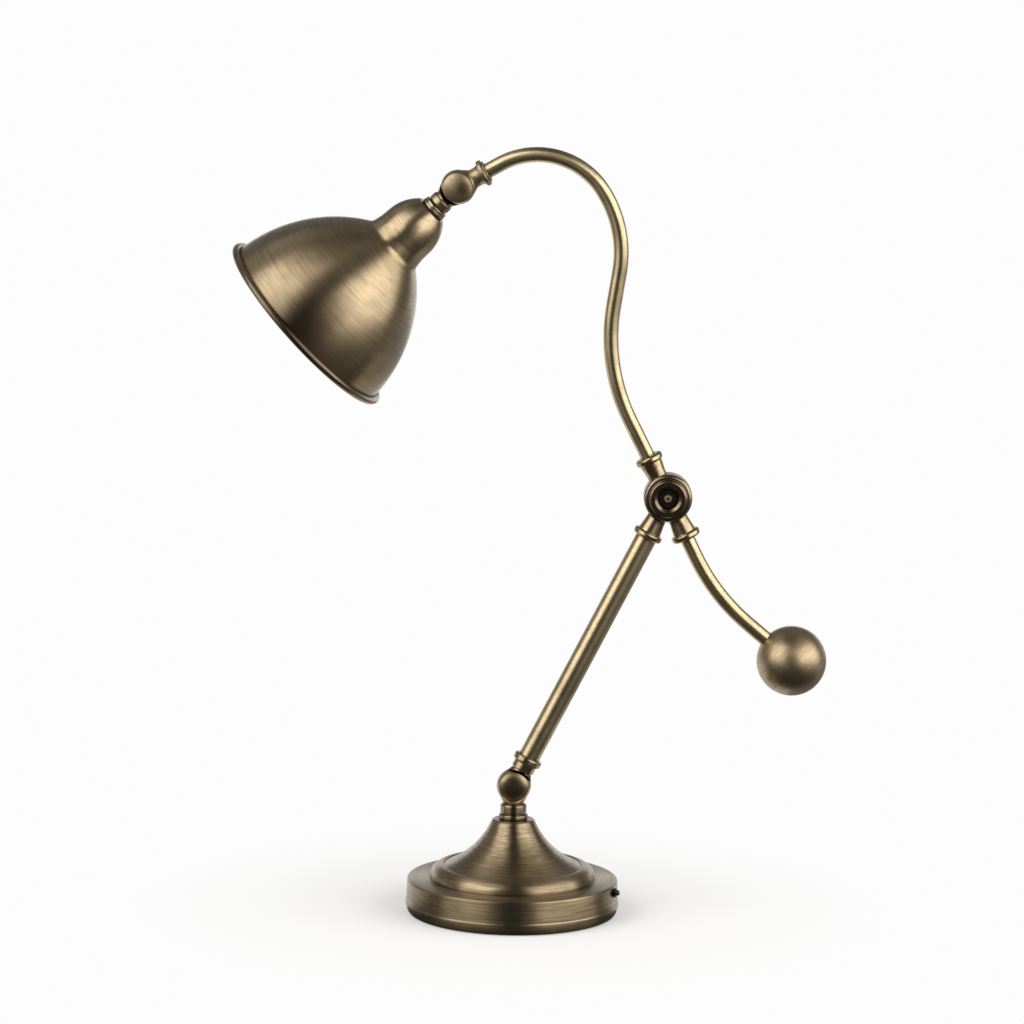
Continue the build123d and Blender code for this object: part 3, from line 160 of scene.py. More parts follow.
ARM_START = 0.0199  # arm's tube starts this far above the lower pivot
ARM_STOP = 0.0297  # and stops this far short of the hub's pivot
ARM_RADIUS = 0.008
KNUCKLE_FACE = 0.0095  # front of a knuckle, from its pivot
SEAT = 0.0258  # tubes start this far out of the hub's pivot
NECK_RUNS = [0.0382, (radians(-35.7), 0.141), 0.0255, (radians(42), 0.0855), (radians(86.7), 0.057), 0.0355]
NECK_END = 0.016  # gooseneck stops short of the head's pivot
COUNTER_RUNS = [0.0225, (radians(24.1), 0.1545), 0.0436]
BALL_SEAT = 0.017  # counter tube stops short of the ball's centre
BALL_BORE = 0.0057  # radius of the bore that takes its tube
BALL_FLOOR = 0.0171  # bottom of that bore, from the ball's centre
BASE_WALL = 0.0012
SHADE_WALL = 0.0008
RIM_PAINTED_SHADE = Vector((0.077, 0, 0.148))  # painted shade standing for a dark reflection, at the front of the bell's rim, in the shade's place


def low_spot():
    """Arm's axis, from the lower pivot."""
    return spot(Vector((0, 0, sizes().pivot_height)), heading(sizes().arm_angle), FRONT)


def hub_pivot():
    return low_spot() @ Vector((0, 0, sizes().arm_length))


def neck_front():
    """The gooseneck is turned a little in its socket, and this is where its flat side faces."""
    return Matrix.Rotation(-sizes().gooseneck_turn, 3, heading(sizes().beam_angle)) @ FRONT


def head_spot():
    """Shade's axis, from the head's pivot."""
    beam = heading(sizes().beam_angle)
    pivot, end = follow(hub_pivot() + beam * SEAT, beam, neck_front(), NECK_RUNS)
    return spot(pivot, Matrix.Rotation(sizes().shade_tilt, 3, neck_front()) @ end, neck_front())


def ball_spot():
    """Ball's axis, from its centre towards the counter tube."""
    counter = heading(sizes().counter_angle)
    centre, inward = follow(hub_pivot() + counter * SEAT, counter, FRONT, COUNTER_RUNS)
    return spot(centre, -inward, FRONT)


# ---------------------------------------------------------------- shapes
def outline(steps):
    """Draw a turned piece's outline in millimetres: (radius, height), (radius, height, rounding), or
    ("arc", centre radius, centre height, degrees), which carries on from the point before it."""
    mesh = bmesh.new()
    last, corners = None, []
    for step in steps:
        if step[0] == "arc":
            made = bmesh.ops.spin(
                mesh, geom=[last], cent=(step[1] * MM, 0, step[2] * MM), axis=FRONT, angle=radians(step[3]),
                steps=max(4, ceil(abs(step[3]) / ARC_FACET)), use_merge=False,
            )
            last = next(item for item in made["geom_last"] if isinstance(item, bmesh.types.BMVert))
        else:
            point = mesh.verts.new((step[0] * MM, 0, step[1] * MM))
            if last:
                mesh.edges.new((last, point))
            if len(step) > 2:
                corners.append((point, step[2] * MM))
            last = point
    return mesh, corners


def soften(mesh, corners, segments=6):
    """Round an outline's corners."""
    for point, rounding in corners:
        one, two = [(edge.other_vert(point).co - point.co).normalized() for edge in point.link_edges]
        reach = rounding * tan((pi - one.angle(two)) / 2)
        bmesh.ops.bevel(
            mesh, geom=[point], offset=reach, offset_type="OFFSET", segments=segments, profile=0.5,
            affect="VERTICES", material=-1,
        )


def turned(steps, place, rounds=None, closed=True, wall=0.0):
    """Spin an outline round its place's Z. A closed outline is joined up first, an open one can be given a wall."""
    mesh, corners = outline(steps)
    if closed:
        ends = [point for point in mesh.verts if len(point.link_edges) == 1]
        if len(ends) == 2 and not (ends[0].co.x < 1e-9 and ends[1].co.x < 1e-9):
            mesh.edges.new(ends)
    soften(mesh, corners)
    bmesh.ops.spin(
        mesh, geom=mesh.verts[:] + mesh.edges[:], cent=(0, 0, 0), axis=UP, angle=2 * pi,
        steps=rounds or sizes().turning_steps, use_merge=True,
    )
    bmesh.ops.remove_doubles(mesh, verts=mesh.verts, dist=1e-7)
    bmesh.ops.recalc_face_normals(mesh, faces=mesh.faces)
    if wall:
        bmesh.ops.solidify(mesh, geom=mesh.faces, thickness=wall)
    bmesh.ops.transform(mesh, matrix=place, verts=mesh.verts)
    return mesh


def bent_tube(start, direction, normal, runs, radius, sides=64):
    """Run a closed tube along straight runs and arcs. Its attribute "straight" keeps where each point was
    before bending and "along" which way the tube heads there, for a grain that follows the tube."""
    mesh = bmesh.new()
    kept = mesh.verts.layers.float_vector.new("straight")
    along = mesh.verts.layers.float_vector.new("along")
    points = bmesh.ops.create_circle(mesh, cap_ends=False, radius=radius, segments=sides)["verts"]
    for point in points:
        point[kept], point[along] = point.co.copy(), direction
    bmesh.ops.transform(mesh, matrix=spot(start, direction, normal), verts=points)
    ring = mesh.edges[:]
    caps = list(ring)
    travelled, here, way = 0.0, start, direction
    for run in runs:
        bend = isinstance(run, tuple)
        steps = max(2, ceil(abs(run[0]) / BEND_FACET)) if bend else max(1, ceil(run / RUN_FACET))
        length = (abs(run[0]) * run[1] if bend else run) / steps
        for _ in range(steps):
            if bend:
                centre = here + normal.cross(way) * (run[1] if run[0] > 0 else -run[1])
                made = bmesh.ops.spin(
                    mesh, geom=ring, cent=centre, axis=normal, angle=run[0] / steps, steps=1, use_merge=False
                )["geom_last"]
            else:
                made = bmesh.ops.extrude_edge_only(mesh, edges=ring)["geom"]
            points = [item for item in made if isinstance(item, bmesh.types.BMVert)]
            ring = [item for item in made if isinstance(item, bmesh.types.BMEdge)]
            if not bend:
                bmesh.ops.translate(mesh, vec=way * length, verts=points)
            travelled += length
            here, way = follow(here, way, normal, [(run[0] / steps, run[1]) if bend else length])
            for point in points:
                point[kept].z, point[along] = travelled, way
    bmesh.ops.edgeloop_fill(mesh, edges=caps)
    bmesh.ops.edgeloop_fill(mesh, edges=ring)
    bmesh.ops.recalc_face_normals(mesh, faces=mesh.faces)
    return mesh


def packed_copy(node):
    """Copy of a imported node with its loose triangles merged."""
    mesh = bmesh.new()
    mesh.from_mesh(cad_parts[node].data)
    bmesh.ops.remove_doubles(mesh, verts=mesh.verts, dist=1e-6)
    return mesh


def piece(name, mesh, body, slot, material, *nodes):
    """Make a finished piece of a mesh: smooth with crisp edges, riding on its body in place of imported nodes."""
    for face in mesh.faces:
        face.smooth = True
    for edge in mesh.edges:
        if edge.is_manifold and edge.calc_face_angle() > SHARP:
            edge.smooth = False
    data = bpy.data.meshes.new(name)
    mesh.to_mesh(data)
    mesh.free()
    data.materials.append(material)
    made = bpy.data.objects.new(name, data)
    bpy.context.scene.collection.objects.link(made)
    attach(made, body)
    if nodes:
        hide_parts(*nodes)
    return made


def fine_copy(name, node, body, slot, material):
    """A packed casting, merged and shaded smooth with its flat faces kept flat."""
    made = piece(name, packed_copy(node), body, slot, material, node)
    flat = made.modifiers.new("Flat faces stay flat", "WEIGHTED_NORMAL")
    flat.keep_sharp = True
    flat.weight = 80
    return made


def dress(material, *nodes):
    """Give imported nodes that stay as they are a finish."""
    for node in nodes:
        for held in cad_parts[node].material_slots:
            held.material = material


# ---------------------------------------------------------------- finishes
def add(tree, kind, links=None, **settings):
    """Add a node with its settings. Links gives its inputs, by name or number, a value or another node's output."""
    node = tree.nodes.new(kind)
    for name, value in settings.items():
        setattr(node, name, value)
    for name, value in (links or {}).items():
        if isinstance(value, bpy.types.NodeSocket):
            tree.links.new(value, node.inputs[name])
        else:
            node.inputs[name].default_value = value
    return node


def new_finish(name):
    """Empty material, with its node tree and its shader."""
    material = bpy.data.materials.new(name)
    material.use_nodes = True
    tree = material.node_tree
    return material, tree, tree.nodes["Principled BSDF"]


def settle(shader, **values):
    """Set the shader's uniform values."""
    for name, value in values.items():
        shader.inputs[name.replace("_", " ")].default_value = value


BLOTCHES = 70.0  # to a metre, so a blotch is about 14 mm across
CREVICE = 3.0 * MM  # a rubbing pad doesn't reach closer than this
COAT = {"Coat_Weight": 0.25, "Coat_Roughness": 0.2}  # thin lacquer
UNEVEN = 0.03  # how far brass's roughness strays from its middle
GRITTY = 0.06  # how far a plain finish's does
ROUND = 2.2  # how much the lines of a turned piece change round it
ACROSS = 400.0  # how much the rings of a drawn tube change round it, to a metre


def aged_brass(
    name, grain, place=None, dark=0.0, rough=0.28, spacing=1.1, spread=0.9, streaks=0.7, brass=None, stains_and_shade=()
):
    """Brass darkened in an ageing bath, rubbed back along its grain and lacquered.

    The eye sees a warm olive-brown metal with cream highlights, fine lines left by the rubbing, browner blotches
    and dark corners where the rubbing did not reach. Grain is "turned" round the place's axis, "drawn" round a
    bent tube, or "cast", and spacing is the distance between its lines in millimetres. Spread is how far light
    runs across the lines. Dark is the share of patina left everywhere, and streaks the share of bare brass left
    in the darkest lines. A stain is a point round which the colour is darkened towards patina, with how far it is
    whole, how far it reaches and the share rubbed bare in it; some are patina left on, some painted shade for dark
    reflections.
    """
    material, tree, shader = new_finish(name)
    bare = coordinates = add(tree, "ShaderNodeTexCoord").outputs["Object"]
    if place:
        coordinates = add(
            tree, "ShaderNodeMapping", {"Vector": coordinates, "Location": place.translation,
            "Rotation": place.to_euler()}, vector_type="TEXTURE",
        ).outputs[0]
    fineness = 1 / (spacing * MM)
    tangent, quarter = None, 0.0
    if grain == "turned":
        relief = 0.02
        # lines run round the axis, so they change with radius and height and hardly with the angle
        flat = add(tree, "ShaderNodeVectorMath", {0: coordinates, 1: (1, 1, 0)}, operation="MULTIPLY").outputs[0]
        radius = add(tree, "ShaderNodeVectorMath", {0: flat}, operation="LENGTH").outputs["Value"]
        around = add(tree, "ShaderNodeVectorMath", {0: flat}, operation="NORMALIZE").outputs[0]
        around = add(tree, "ShaderNodeSeparateXYZ", {0: around})
        height = add(tree, "ShaderNodeSeparateXYZ", {0: coordinates}).outputs["Z"]
        high = add(tree, "ShaderNodeMath", {0: height, 1: fineness}, operation="MULTIPLY").outputs[0]
        wide = add(tree, "ShaderNodeMath", {0: radius, 1: fineness}, operation="MULTIPLY").outputs[0]
        east = add(tree, "ShaderNodeMath", {0: around.outputs["X"], 1: ROUND}, operation="MULTIPLY").outputs[0]
        north = add(tree, "ShaderNodeMath", {0: around.outputs["Y"], 1: ROUND}, operation="MULTIPLY").outputs[0]
        at = add(tree, "ShaderNodeCombineXYZ", {0: wide, 1: high, 2: east}).outputs[0]
        lines = add(
            tree, "ShaderNodeTexNoise", {"Vector": at, "W": north, "Scale": 1.0, "Detail": 3.0, "Roughness": 0.6},
            noise_dimensions="4D",
        ).outputs["Fac"]
        # light spreads across the lines, so highlights run up and down a turned piece
        out = add(tree, "ShaderNodeVectorMath", {0: bare, 1: place.translation}, operation="SUBTRACT").outputs[0]
        axis = place.col[2].xyz
        tangent = add(tree, "ShaderNodeVectorMath", {0: axis, 1: out}, operation="CROSS_PRODUCT").outputs[0]
        quarter = 0.25
    elif grain == "drawn":
        # the polishing belt went round the tube, so its lines are rings
        relief = 0.001
        straight = add(tree, "ShaderNodeAttribute", attribute_name="straight").outputs["Vector"]
        at = add(tree, "ShaderNodeMapping", {"Vector": straight, "Scale": (ACROSS, ACROSS, fineness)}).outputs[0]
        lines = add(
            tree, "ShaderNodeTexNoise", {"Vector": at, "Scale": 1.0, "Detail": 2.0, "Roughness": 0.5}
        ).outputs["Fac"]
        tangent = add(tree, "ShaderNodeAttribute", attribute_name="along").outputs["Vector"]
    else:
        relief = 0.003
        lines = add(
            tree, "ShaderNodeTexNoise",
            {"Vector": coordinates, "Scale": fineness / 3, "Detail": 3.0, "Roughness": 0.5},
        ).outputs["Fac"]
    if tangent is not None:
        tangent = add(
            tree, "ShaderNodeVectorTransform", {"Vector": tangent}, vector_type="VECTOR", convert_from="OBJECT",
            convert_to="WORLD",
        ).outputs[0]
        tree.links.new(tangent, shader.inputs["Tangent"])
        settle(shader, Anisotropic=spread, Anisotropic_Rotation=quarter)
    blotch = add(
        tree, "ShaderNodeTexNoise", {"Vector": coordinates, "Scale": BLOTCHES, "Detail": 3.0, "Roughness": 0.5}
    ).outputs["Fac"]
    crevice = add(tree, "ShaderNodeAmbientOcclusion", {"Distance": CREVICE}, samples=8).outputs["AO"]
    open_part = add(
        tree, "ShaderNodeMapRange",
        {"Value": crevice, "From Min": 0.35, "From Max": 0.85, "To Min": 0.15, "To Max": 1.0},
    ).outputs[0]
    rubbed = add(
        tree, "ShaderNodeMapRange",
        {"Value": blotch, "From Min": 0.3, "From Max": 0.62, "To Min": 0.74 - dark, "To Max": 1.0 - dark},
    ).outputs[0]
    streaked = add(
        tree, "ShaderNodeMapRange",
        {"Value": lines, "From Min": 0.36, "From Max": 0.62, "To Min": streaks, "To Max": 1.08},
    ).outputs[0]
    share = add(tree, "ShaderNodeMath", {0: rubbed, 1: streaked}, operation="MULTIPLY").outputs[0]
    share = add(tree, "ShaderNodeMath", {0: share, 1: open_part}, operation="MULTIPLY", use_clamp=True).outputs[0]
    # each stain darkens the colour towards patina round its point: some are patina left on, some painted shade
    for centre, whole, reach, left in stains_and_shade:
        away = add(tree, "ShaderNodeVectorMath", {0: bare, 1: centre}, operation="DISTANCE").outputs["Value"]
        clean = add(
            tree, "ShaderNodeMapRange", {"Value": away, "From Min": whole, "From Max": reach, "To Min": left},
            interpolation_type="SMOOTHSTEP",
        ).outputs[0]
        share = add(tree, "ShaderNodeMath", {0: share, 1: clean}, operation="MULTIPLY").outputs[0]
    colour = add(
        tree, "ShaderNodeMix", {0: share, 6: finish().patina, 7: brass or finish().brass}, data_type="RGBA"
    ).outputs[2]
    tree.links.new(colour, shader.inputs["Base Color"])
    roughness = add(
        tree, "ShaderNodeMapRange",
        {"Value": lines, "From Min": 0.3, "From Max": 0.7, "To Min": rough + UNEVEN, "To Max": rough - UNEVEN},
    ).outputs[0]
    tree.links.new(roughness, shader.inputs["Roughness"])
    bump = add(tree, "ShaderNodeBump", {"Height": lines, "Strength": 0.5, "Distance": relief * MM}).outputs[0]
    tree.links.new(bump, shader.inputs["Normal"])
    settle(shader, Metallic=1.0, **COAT)
    return material


def drawn_brass(name, dark, rough):
    """Paler brass of a tube, polished with a belt: clean bands of light along it and hardly any lines."""
    return aged_brass(
        name, "drawn", dark=dark, rough=rough, spacing=0.9, spread=0.5, streaks=0.9, brass=finish().rubbed
    )


def plain_finish(name, low, high, rough, metallic=0.0, grit=0.8, bump=0.02, **values):
    """Finish of one colour that wanders between two tones, with a fine grit given in millimetres."""
    material, tree, shader = new_finish(name)
    coordinates = add(tree, "ShaderNodeTexCoord").outputs["Object"]
    broad = add(tree, "ShaderNodeTexNoise", {"Vector": coordinates, "Scale": 90.0, "Detail": 4.0}).outputs["Fac"]
    fine = add(
        tree, "ShaderNodeTexNoise", {"Vector": coordinates, "Scale": 1 / (grit * MM), "Detail": 3.0}
    ).outputs["Fac"]
    colour = add(tree, "ShaderNodeMix", {0: broad, 6: linear(low), 7: linear(high)}, data_type="RGBA").outputs[2]
    tree.links.new(colour, shader.inputs["Base Color"])
    roughness = add(
        tree, "ShaderNodeMapRange",
        {"Value": fine, "From Min": 0.3, "From Max": 0.7, "To Min": rough - GRITTY, "To Max": rough + GRITTY},
    ).outputs[0]
    tree.links.new(roughness, shader.inputs["Roughness"])
    relief = add(tree, "ShaderNodeBump", {"Height": fine, "Strength": 0.6, "Distance": bump * MM}).outputs[0]
    tree.links.new(relief, shader.inputs["Normal"])
    settle(shader, Metallic=metallic, **values)
    return material


# ---------------------------------------------------------------- pieces
class LAMP_OT_base(Operator):
    """Spin the hollow base with its swept cone, rounded step, flat shoulder and edge band"""

    bl_idname = "lamp.base"
    bl_label = "Base"

    def execute(self, context):
        skin = [
            (5.05, 71.1), (14.4, 71.1), ("arc", 14.4, 69.1, -50), ("arc", 74.84, 95.41, 45.89),
            (51.9, 36.3, 0.25), (53.2, 36.15, 0.5), ("arc", 52.83, 26.96, -92.6), (78.9, 25.83, 1.3),
            (79.6, 9.2, 0.6), (80.0, 8.3, 0.4), (80.0, 7.5), ("arc", 68.0, 7.805, -35.4),
        ]
        level = Matrix.Identity(4)
        brass = aged_brass(
            "spun_brass_base", "turned", level, dark=0.08, rough=0.38, spacing=0.9, spread=0.84, streaks=0.45
        )
        piece("base", turned(skin, level, closed=False, wall=BASE_WALL), "base", "aged_brass", brass, "base_shell")
        neck = [
            (5.05, 71.1), (10.9, 71.1, 1.6), (10.9, 75.2, 1.2), (8.7, 75.2, 0.2), (8.7, 76.0, 0.2), (9.8, 76.0, 0.8),
            (9.8, 82.9, 1.6), (5.05, 82.9),
        ]
        dark = aged_brass("turned_brass_neck", "turned", level, dark=0.3, rough=0.3)
        piece("neck", turned(neck, level, FINE_ROUNDS), "base", "aged_brass", dark, "base_neck")
        return {"FINISHED"}


class LAMP_OT_knuckles(Operator):
    """Copy the cast knuckle halves"""

    bl_idname = "lamp.knuckles"
    bl_label = "Knuckles"

    def execute(self, context):
        low, head = low_spot().translation, head_spot().translation
        # painted shade: the middle of each front face is darkened towards patina where it reflects the dark front of
        # the room, a little right of centre on the head's face; the rear halves are darkened close to their pivots,
        # next to the faces
        low_face_painted_shade = low + FRONT * KNUCKLE_FACE
        head_face_painted_shade = head + FRONT * KNUCKLE_FACE + RIGHT * 4.5 * MM
        for node, body, name, stain_and_shade, values in (
            ("base_knuckle", "base", "low_half", (low_face_painted_shade, 6 * MM, 10 * MM, 0.3), {"rough": 0.36, "streaks": 0.9}),
            ("arm_knuckle", "arm", "low_lug", (low, 13 * MM, 17 * MM, 0.3), {}),
            ("beam_knuckle", "beam", "knuckles", (head_face_painted_shade, 2 * MM, 8 * MM, 0.3), {"rough": 0.42, "streaks": 0.9}),
            ("head_knuckle", "head", "head_lug", (head, 14 * MM, 19 * MM, 0.35), {"rough": 0.36}),
        ):
            brass = aged_brass("cast_brass_" + name, "cast", stains_and_shade=[stain_and_shade], **values)
            fine_copy(node + "_cast", node, body, "aged_brass", brass)
        return {"FINISHED"}


class LAMP_OT_arm(Operator):
    """Draw the arm's tube and turn its collar"""

    bl_idname = "lamp.arm"
    bl_label = "Arm"

    def execute(self, context):
        place = low_spot()
        length = sizes().arm_length - ARM_STOP - ARM_START
        tube = bent_tube(place @ (UP * ARM_START), heading(sizes().arm_angle), FRONT, [length], ARM_RADIUS)
        brass = drawn_brass("drawn_brass_arm", 0.15, 0.36)
        piece("arm_pipe", tube, "arm", "aged_brass", brass, "arm_tube")
        collar = [(8.05, 19.9), (10.8, 19.9, 1.4), (10.8, 25.0, 1.4), (8.05, 25.0)]
        brass = aged_brass("turned_brass_collar", "turned", place)
        piece("arm_ring", turned(collar, place, FINE_ROUNDS), "arm", "aged_brass", brass, "arm_collar")
        return {"FINISHED"}


class LAMP_OT_hub(Operator):
    """Copy the hub's cast halves with their sockets, and its bolt, disc springs and lock nut"""

    bl_idname = "lamp.hub"
    bl_label = "Hub"

    def execute(self, context):
        dark = aged_brass("cast_brass_hub", "cast", stains_and_shade=[(hub_pivot(), 18 * MM, 20 * MM, 0.4)])
        fine_copy("hub_front", "beam_hub", "beam", "dark_brass", dark)
        fine_copy("hub_back", "arm_hub", "arm", "dark_brass", dark)
        bright = aged_brass("turned_brass_bolt", "cast", rough=0.45, brass=finish().rubbed)
        fine_copy("hub_bolt_turned", "hub_bolt", "beam", "aged_brass", bright)
        # oiled black steel: soft brown-black sheen
        black = plain_finish("oiled_black_steel", "#17130f", "#241e18", 0.38, metallic=0.6)
        fine_copy("hub_nut_turned", "hub_nut", "beam", "black_steel", black)
        fine_copy("hub_springs_pressed", "hub_springs", "beam", "black_steel", black)
        return {"FINISHED"}


class LAMP_OT_beam(Operator):
    """Bend the gooseneck and the counter tube"""

    bl_idname = "lamp.beam"
    bl_label = "Gooseneck and counter tube"

    def execute(self, context):
        brass = drawn_brass("drawn_brass_beam", 0.08, 0.34)
        hub = hub_pivot()
        beam, counter = heading(sizes().beam_angle), heading(sizes().counter_angle)
        runs = NECK_RUNS[:-1] + [NECK_RUNS[-1] - NECK_END]
        neck = bent_tube(hub + beam * SEAT, beam, neck_front(), runs, sizes().tube_radius)
        piece("gooseneck", neck, "beam", "aged_brass", brass, "gooseneck_tube")
        runs = COUNTER_RUNS[:-1] + [COUNTER_RUNS[-1] - BALL_SEAT]
        rod = bent_tube(hub + counter * SEAT, counter, FRONT, runs, sizes().tube_radius)
        piece("counter_pipe", rod, "beam", "aged_brass", brass, "counter_tube")
        return {"FINISHED"}


class LAMP_OT_counterweight(Operator):
    """Turn the ball and bore it for its tube"""

    bl_idname = "lamp.counterweight"
    bl_label = "Ball counterweight"

    def execute(self, context):
        place = ball_spot()
        radius, bore, floor = sizes().ball_radius / MM, BALL_BORE / MM, BALL_FLOOR / MM
        ball = [(0.0, -radius), ("arc", 0, 0, 167.2), (bore, floor), (0.0, floor)]
        brass = aged_brass("buffed_brass_ball", "turned", place, rough=0.4, spread=0.3)
        piece("ball", turned(ball, place, BALL_ROUNDS, closed=False), "beam", "aged_brass", brass, "counterweight")
        return {"FINISHED"}


class LAMP_OT_shade(Operator):
    """Spin the bell with its cup and rolled rim, and turn its collar and washer"""

    bl_idname = "lamp.shade"
    bl_label = "Shade"

    def execute(self, context):
        place = head_spot()
        # patina stayed on the bead, which lies furthest from the pivot; the dark patch at the front of the rim is
        # painted shade, a dark reflection painted into the colour
        stains_and_shade = [(place.translation, 171 * MM, 169.5 * MM, 0.4), (place @ RIM_PAINTED_SHADE, 8 * MM, 62 * MM, 0.1)]
        brass = aged_brass("spun_brass_shade", "turned", place, rough=0.33, spread=0.78, stains_and_shade=stains_and_shade)
        skin = [
            (5.05, 26.4), (12.4, 26.4), ("arc", -10.93, 49.53, 42.6), (22.2, 56.3, 5.0), (23.6, 64.7, 6.0),
            ("arc", -42.0, 160.4, 51.84),
        ]
        bell = turned(skin, place, closed=False, wall=SHADE_WALL)
        bead = turned([(78.45, 152.8), ("arc", 75.8, 152.8, 360)], place, closed=False)
        joined = bpy.data.meshes.new("bead")
        bead.to_mesh(joined)
        bead.free()
        bell.from_mesh(joined)
        bpy.data.meshes.remove(joined)
        piece("bell", bell, "head", "aged_brass", brass, "shade")
        collar = [
            (5.05, 20.9), (9.7, 20.9, 0.8), (9.7, 23.4, 0.2), (10.2, 23.4, 0.3), (10.2, 25.2, 0.6), (5.05, 25.2),
        ]
        piece("shade_ring", turned(collar, place, FINE_ROUNDS), "head", "aged_brass", brass, "shade_collar")
        washer = [(5.05, 25.3), (9.7, 25.3, 0.15), (9.7, 26.3, 0.15), (5.05, 26.3)]
        # vulcanised fibre: matt black with a dry, slightly fibrous face
        fibre = plain_finish("vulcanised_fibre", "#14110f", "#211c18", 0.7, grit=0.5)
        piece("fibre_washer", turned(washer, place, FINE_ROUNDS), "head", "fibre", fibre, "shade_washer")
        return {"FINISHED"}


class LAMP_OT_lampholder(Operator):
    """Finish the lampholder, its fixings and the opal bulb inside the shade"""

    bl_idname = "lamp.lampholder"
    bl_label = "Lampholder and bulb"

    def execute(self, context):
        # phenolic moulding: near black, with the soft gloss of a polished mould
        black = plain_finish("black_phenolic", "#151311", "#1e1b19", 0.32, grit=1.5, bump=0.01)
        for node in ("holder_cap", "holder_body"):
            fine_copy(node + "_moulded", node, "head", "black_plastic", black)
        # opal glass: milky white, polished outside
        opal = plain_finish("opal_glass", "#e9e4d8", "#f3efe6", 0.12, grit=4.0, bump=0.003)
        fine_copy("bulb_opal", "bulb_glass", "head", "bulb_glass", opal)
        # nickel-plated brass of the bulb's cap
        nickel = plain_finish("plated_bulb_cap", "#a79d8d", "#bdb4a4", 0.3, metallic=1.0)
        dress(nickel, "bulb_cap", "bulb_contact", "holder_sleeve", "holder_contact")
        return {"FINISHED"}


class LAMP_OT_fittings(Operator):
    """Finish the switch, the gland, the screws and the pieces inside"""

    bl_idname = "lamp.fittings"
    bl_label = "Switch and fittings"

    def execute(self, context):
        # blackened brass: dark, with a dull glint of metal on its edges
        blackened = plain_finish("blackened_brass_ring", "#15110d", "#241d16", 0.3, metallic=0.7)
        fine_copy("switch_ring", "switch_bezel", "base", "black_plastic", blackened)
        # phenolic button, worn smooth by fingers
        button = plain_finish("black_switch_button", "#110f0d", "#1b1815", 0.28, grit=1.2, bump=0.01)
        fine_copy("switch_knob", "switch_button", "button", "black_plastic", button)
        # soft PVC moulding of the gland and of the pieces behind it
        plastic = plain_finish("black_moulding", "#161412", "#201d1b", 0.42)
        fine_copy("gland", "cable_gland", "base", "black_plastic", plastic)
        dress(plastic, "switch_body", "terminal_block")
        # grey iron from a sand mould: dull and rough
        iron = plain_finish("sand_cast_iron", "#2c2a28", "#3d3a37", 0.75, metallic=0.7, grit=1.2, bump=0.2)
        dress(iron, "base_weight")
        # zinc plate: cool, even and half dull
        zinc = plain_finish("zinc_plated_steel", "#8c8d8e", "#a6a7a8", 0.4, metallic=1.0)
        dress(zinc, "base_cover", "base_nut", "base_washer", "cover_screws", "head_nut")
        dress(zinc, "base_spring_washer", "head_spring_washer")
        # pressed wool felt: no shine, short fibres
        dress(plain_finish("green_felt", "#26301f", "#33402b", 0.95, grit=0.9, bump=0.3), "base_felt")
        # friction fibre: dull dark brown, like hard card
        friction = plain_finish("friction_fibre", "#1f1a16", "#2d2620", 0.8)
        dress(friction, "base_friction_disc", "hub_friction_disc", "head_friction_disc")
        # PVC-covered lead: smooth brown plastic
        cable = plain_finish("brown_lead", "#2a1c12", "#35251a", 0.5)
        dress(cable, "inlet_lead", "base_lead", "arm_lead", "beam_lead", "head_lead", "switch_wires")
        # turned brass that never saw the ageing bath: clean yellow metal
        yellow = plain_finish("bare_brass", "#b08d57", "#c19c63", 0.35, metallic=1.0)
        dress(yellow, "base_nipple", "head_nipple", "counter_stud", "switch_tabs")
        dress(aged_brass("turned_brass_screws", "cast"), "base_pivot_screw", "head_pivot_screw")
        return {"FINISHED"}


# ---------------------------------------------------------------- studio
WHITE = 0.98  # strength of the backdrop
DIM = 0.4  # strength of the light from the backdrop on the lamp
LIFT = 0.2  # how much the floor is raised towards white where the lamp's shadow falls
FADE = (0.07, 0.3)  # the floor runs from its own tone to the backdrop's between these distances
SOFTBOXES = (  # turn from the front, rise, width, height, power
    ("left", -54, 31, 1.8, 2.1, 27.0), ("right", 63, 20, 2.9, 1.7, 35.0),
)
AIM = Vector((0, 0, 0.3))  # softboxes point here
REACH = 2.0  # from this far away
HALO = 1.35  # glowing cloth round a softbox, in times its size
HALO_TONE = 0.6
HALO_BACK = 0.04  # that cloth stands this far behind the softbox
FLOOR_HALF = 12.0
ROOM = (  # grey surfaces of the room that only bright metal sees: tone, size, centre, axis that it faces
    ("front", 0.03, (6.0, 4.0), (0.0, -2.3, 1.9), "Y"),
    ("left", 0.3, (5.3, 4.0), (-3.0, 0.35, 1.9), "X"),
    ("right", 0.18, (5.3, 4.0), (3.0, 0.35, 1.9), "X"),
    ("back", 0.2, (6.0, 2.4), (0.0, 3.0, 2.2), "Y"),
    ("ceiling", 0.18, (6.0, 5.3), (0.0, 0.35, 3.2), "Z"),
    ("ceiling_left", 0.45, (2.1, 4.6), (-1.95, 0.0, 3.15), "Z"),
    ("valance", 0.04, (1.7, 3.0), (0.0, -0.8, 3.1), "Z"),
    ("table", 0.18, (6.0, 2.3), (0.0, -1.15, 0.0006), "Z"),
    ("table_right", 0.28, (2.8, 1.8), (1.6, 0.9, 0.0006), "Z"),
    ("runner", 0.05, (1.2, 2.3), (0.0, -1.15, 0.0009), "Z"),
)
UPRIGHT = Matrix.Rotation(pi / 2, 4, "X")
FACING = {"X": Matrix.Rotation(pi / 2, 4, "Z") @ UPRIGHT, "Y": UPRIGHT, "Z": Matrix.Identity(4)}
CAMERA = Vector((-0.00454, -3.6644, 0.8941))
PITCH, ROLL = radians(9.15), radians(0.9)
SENSOR = 36.0
FOCAL = 5000 / 1024  # in widths of the sensor


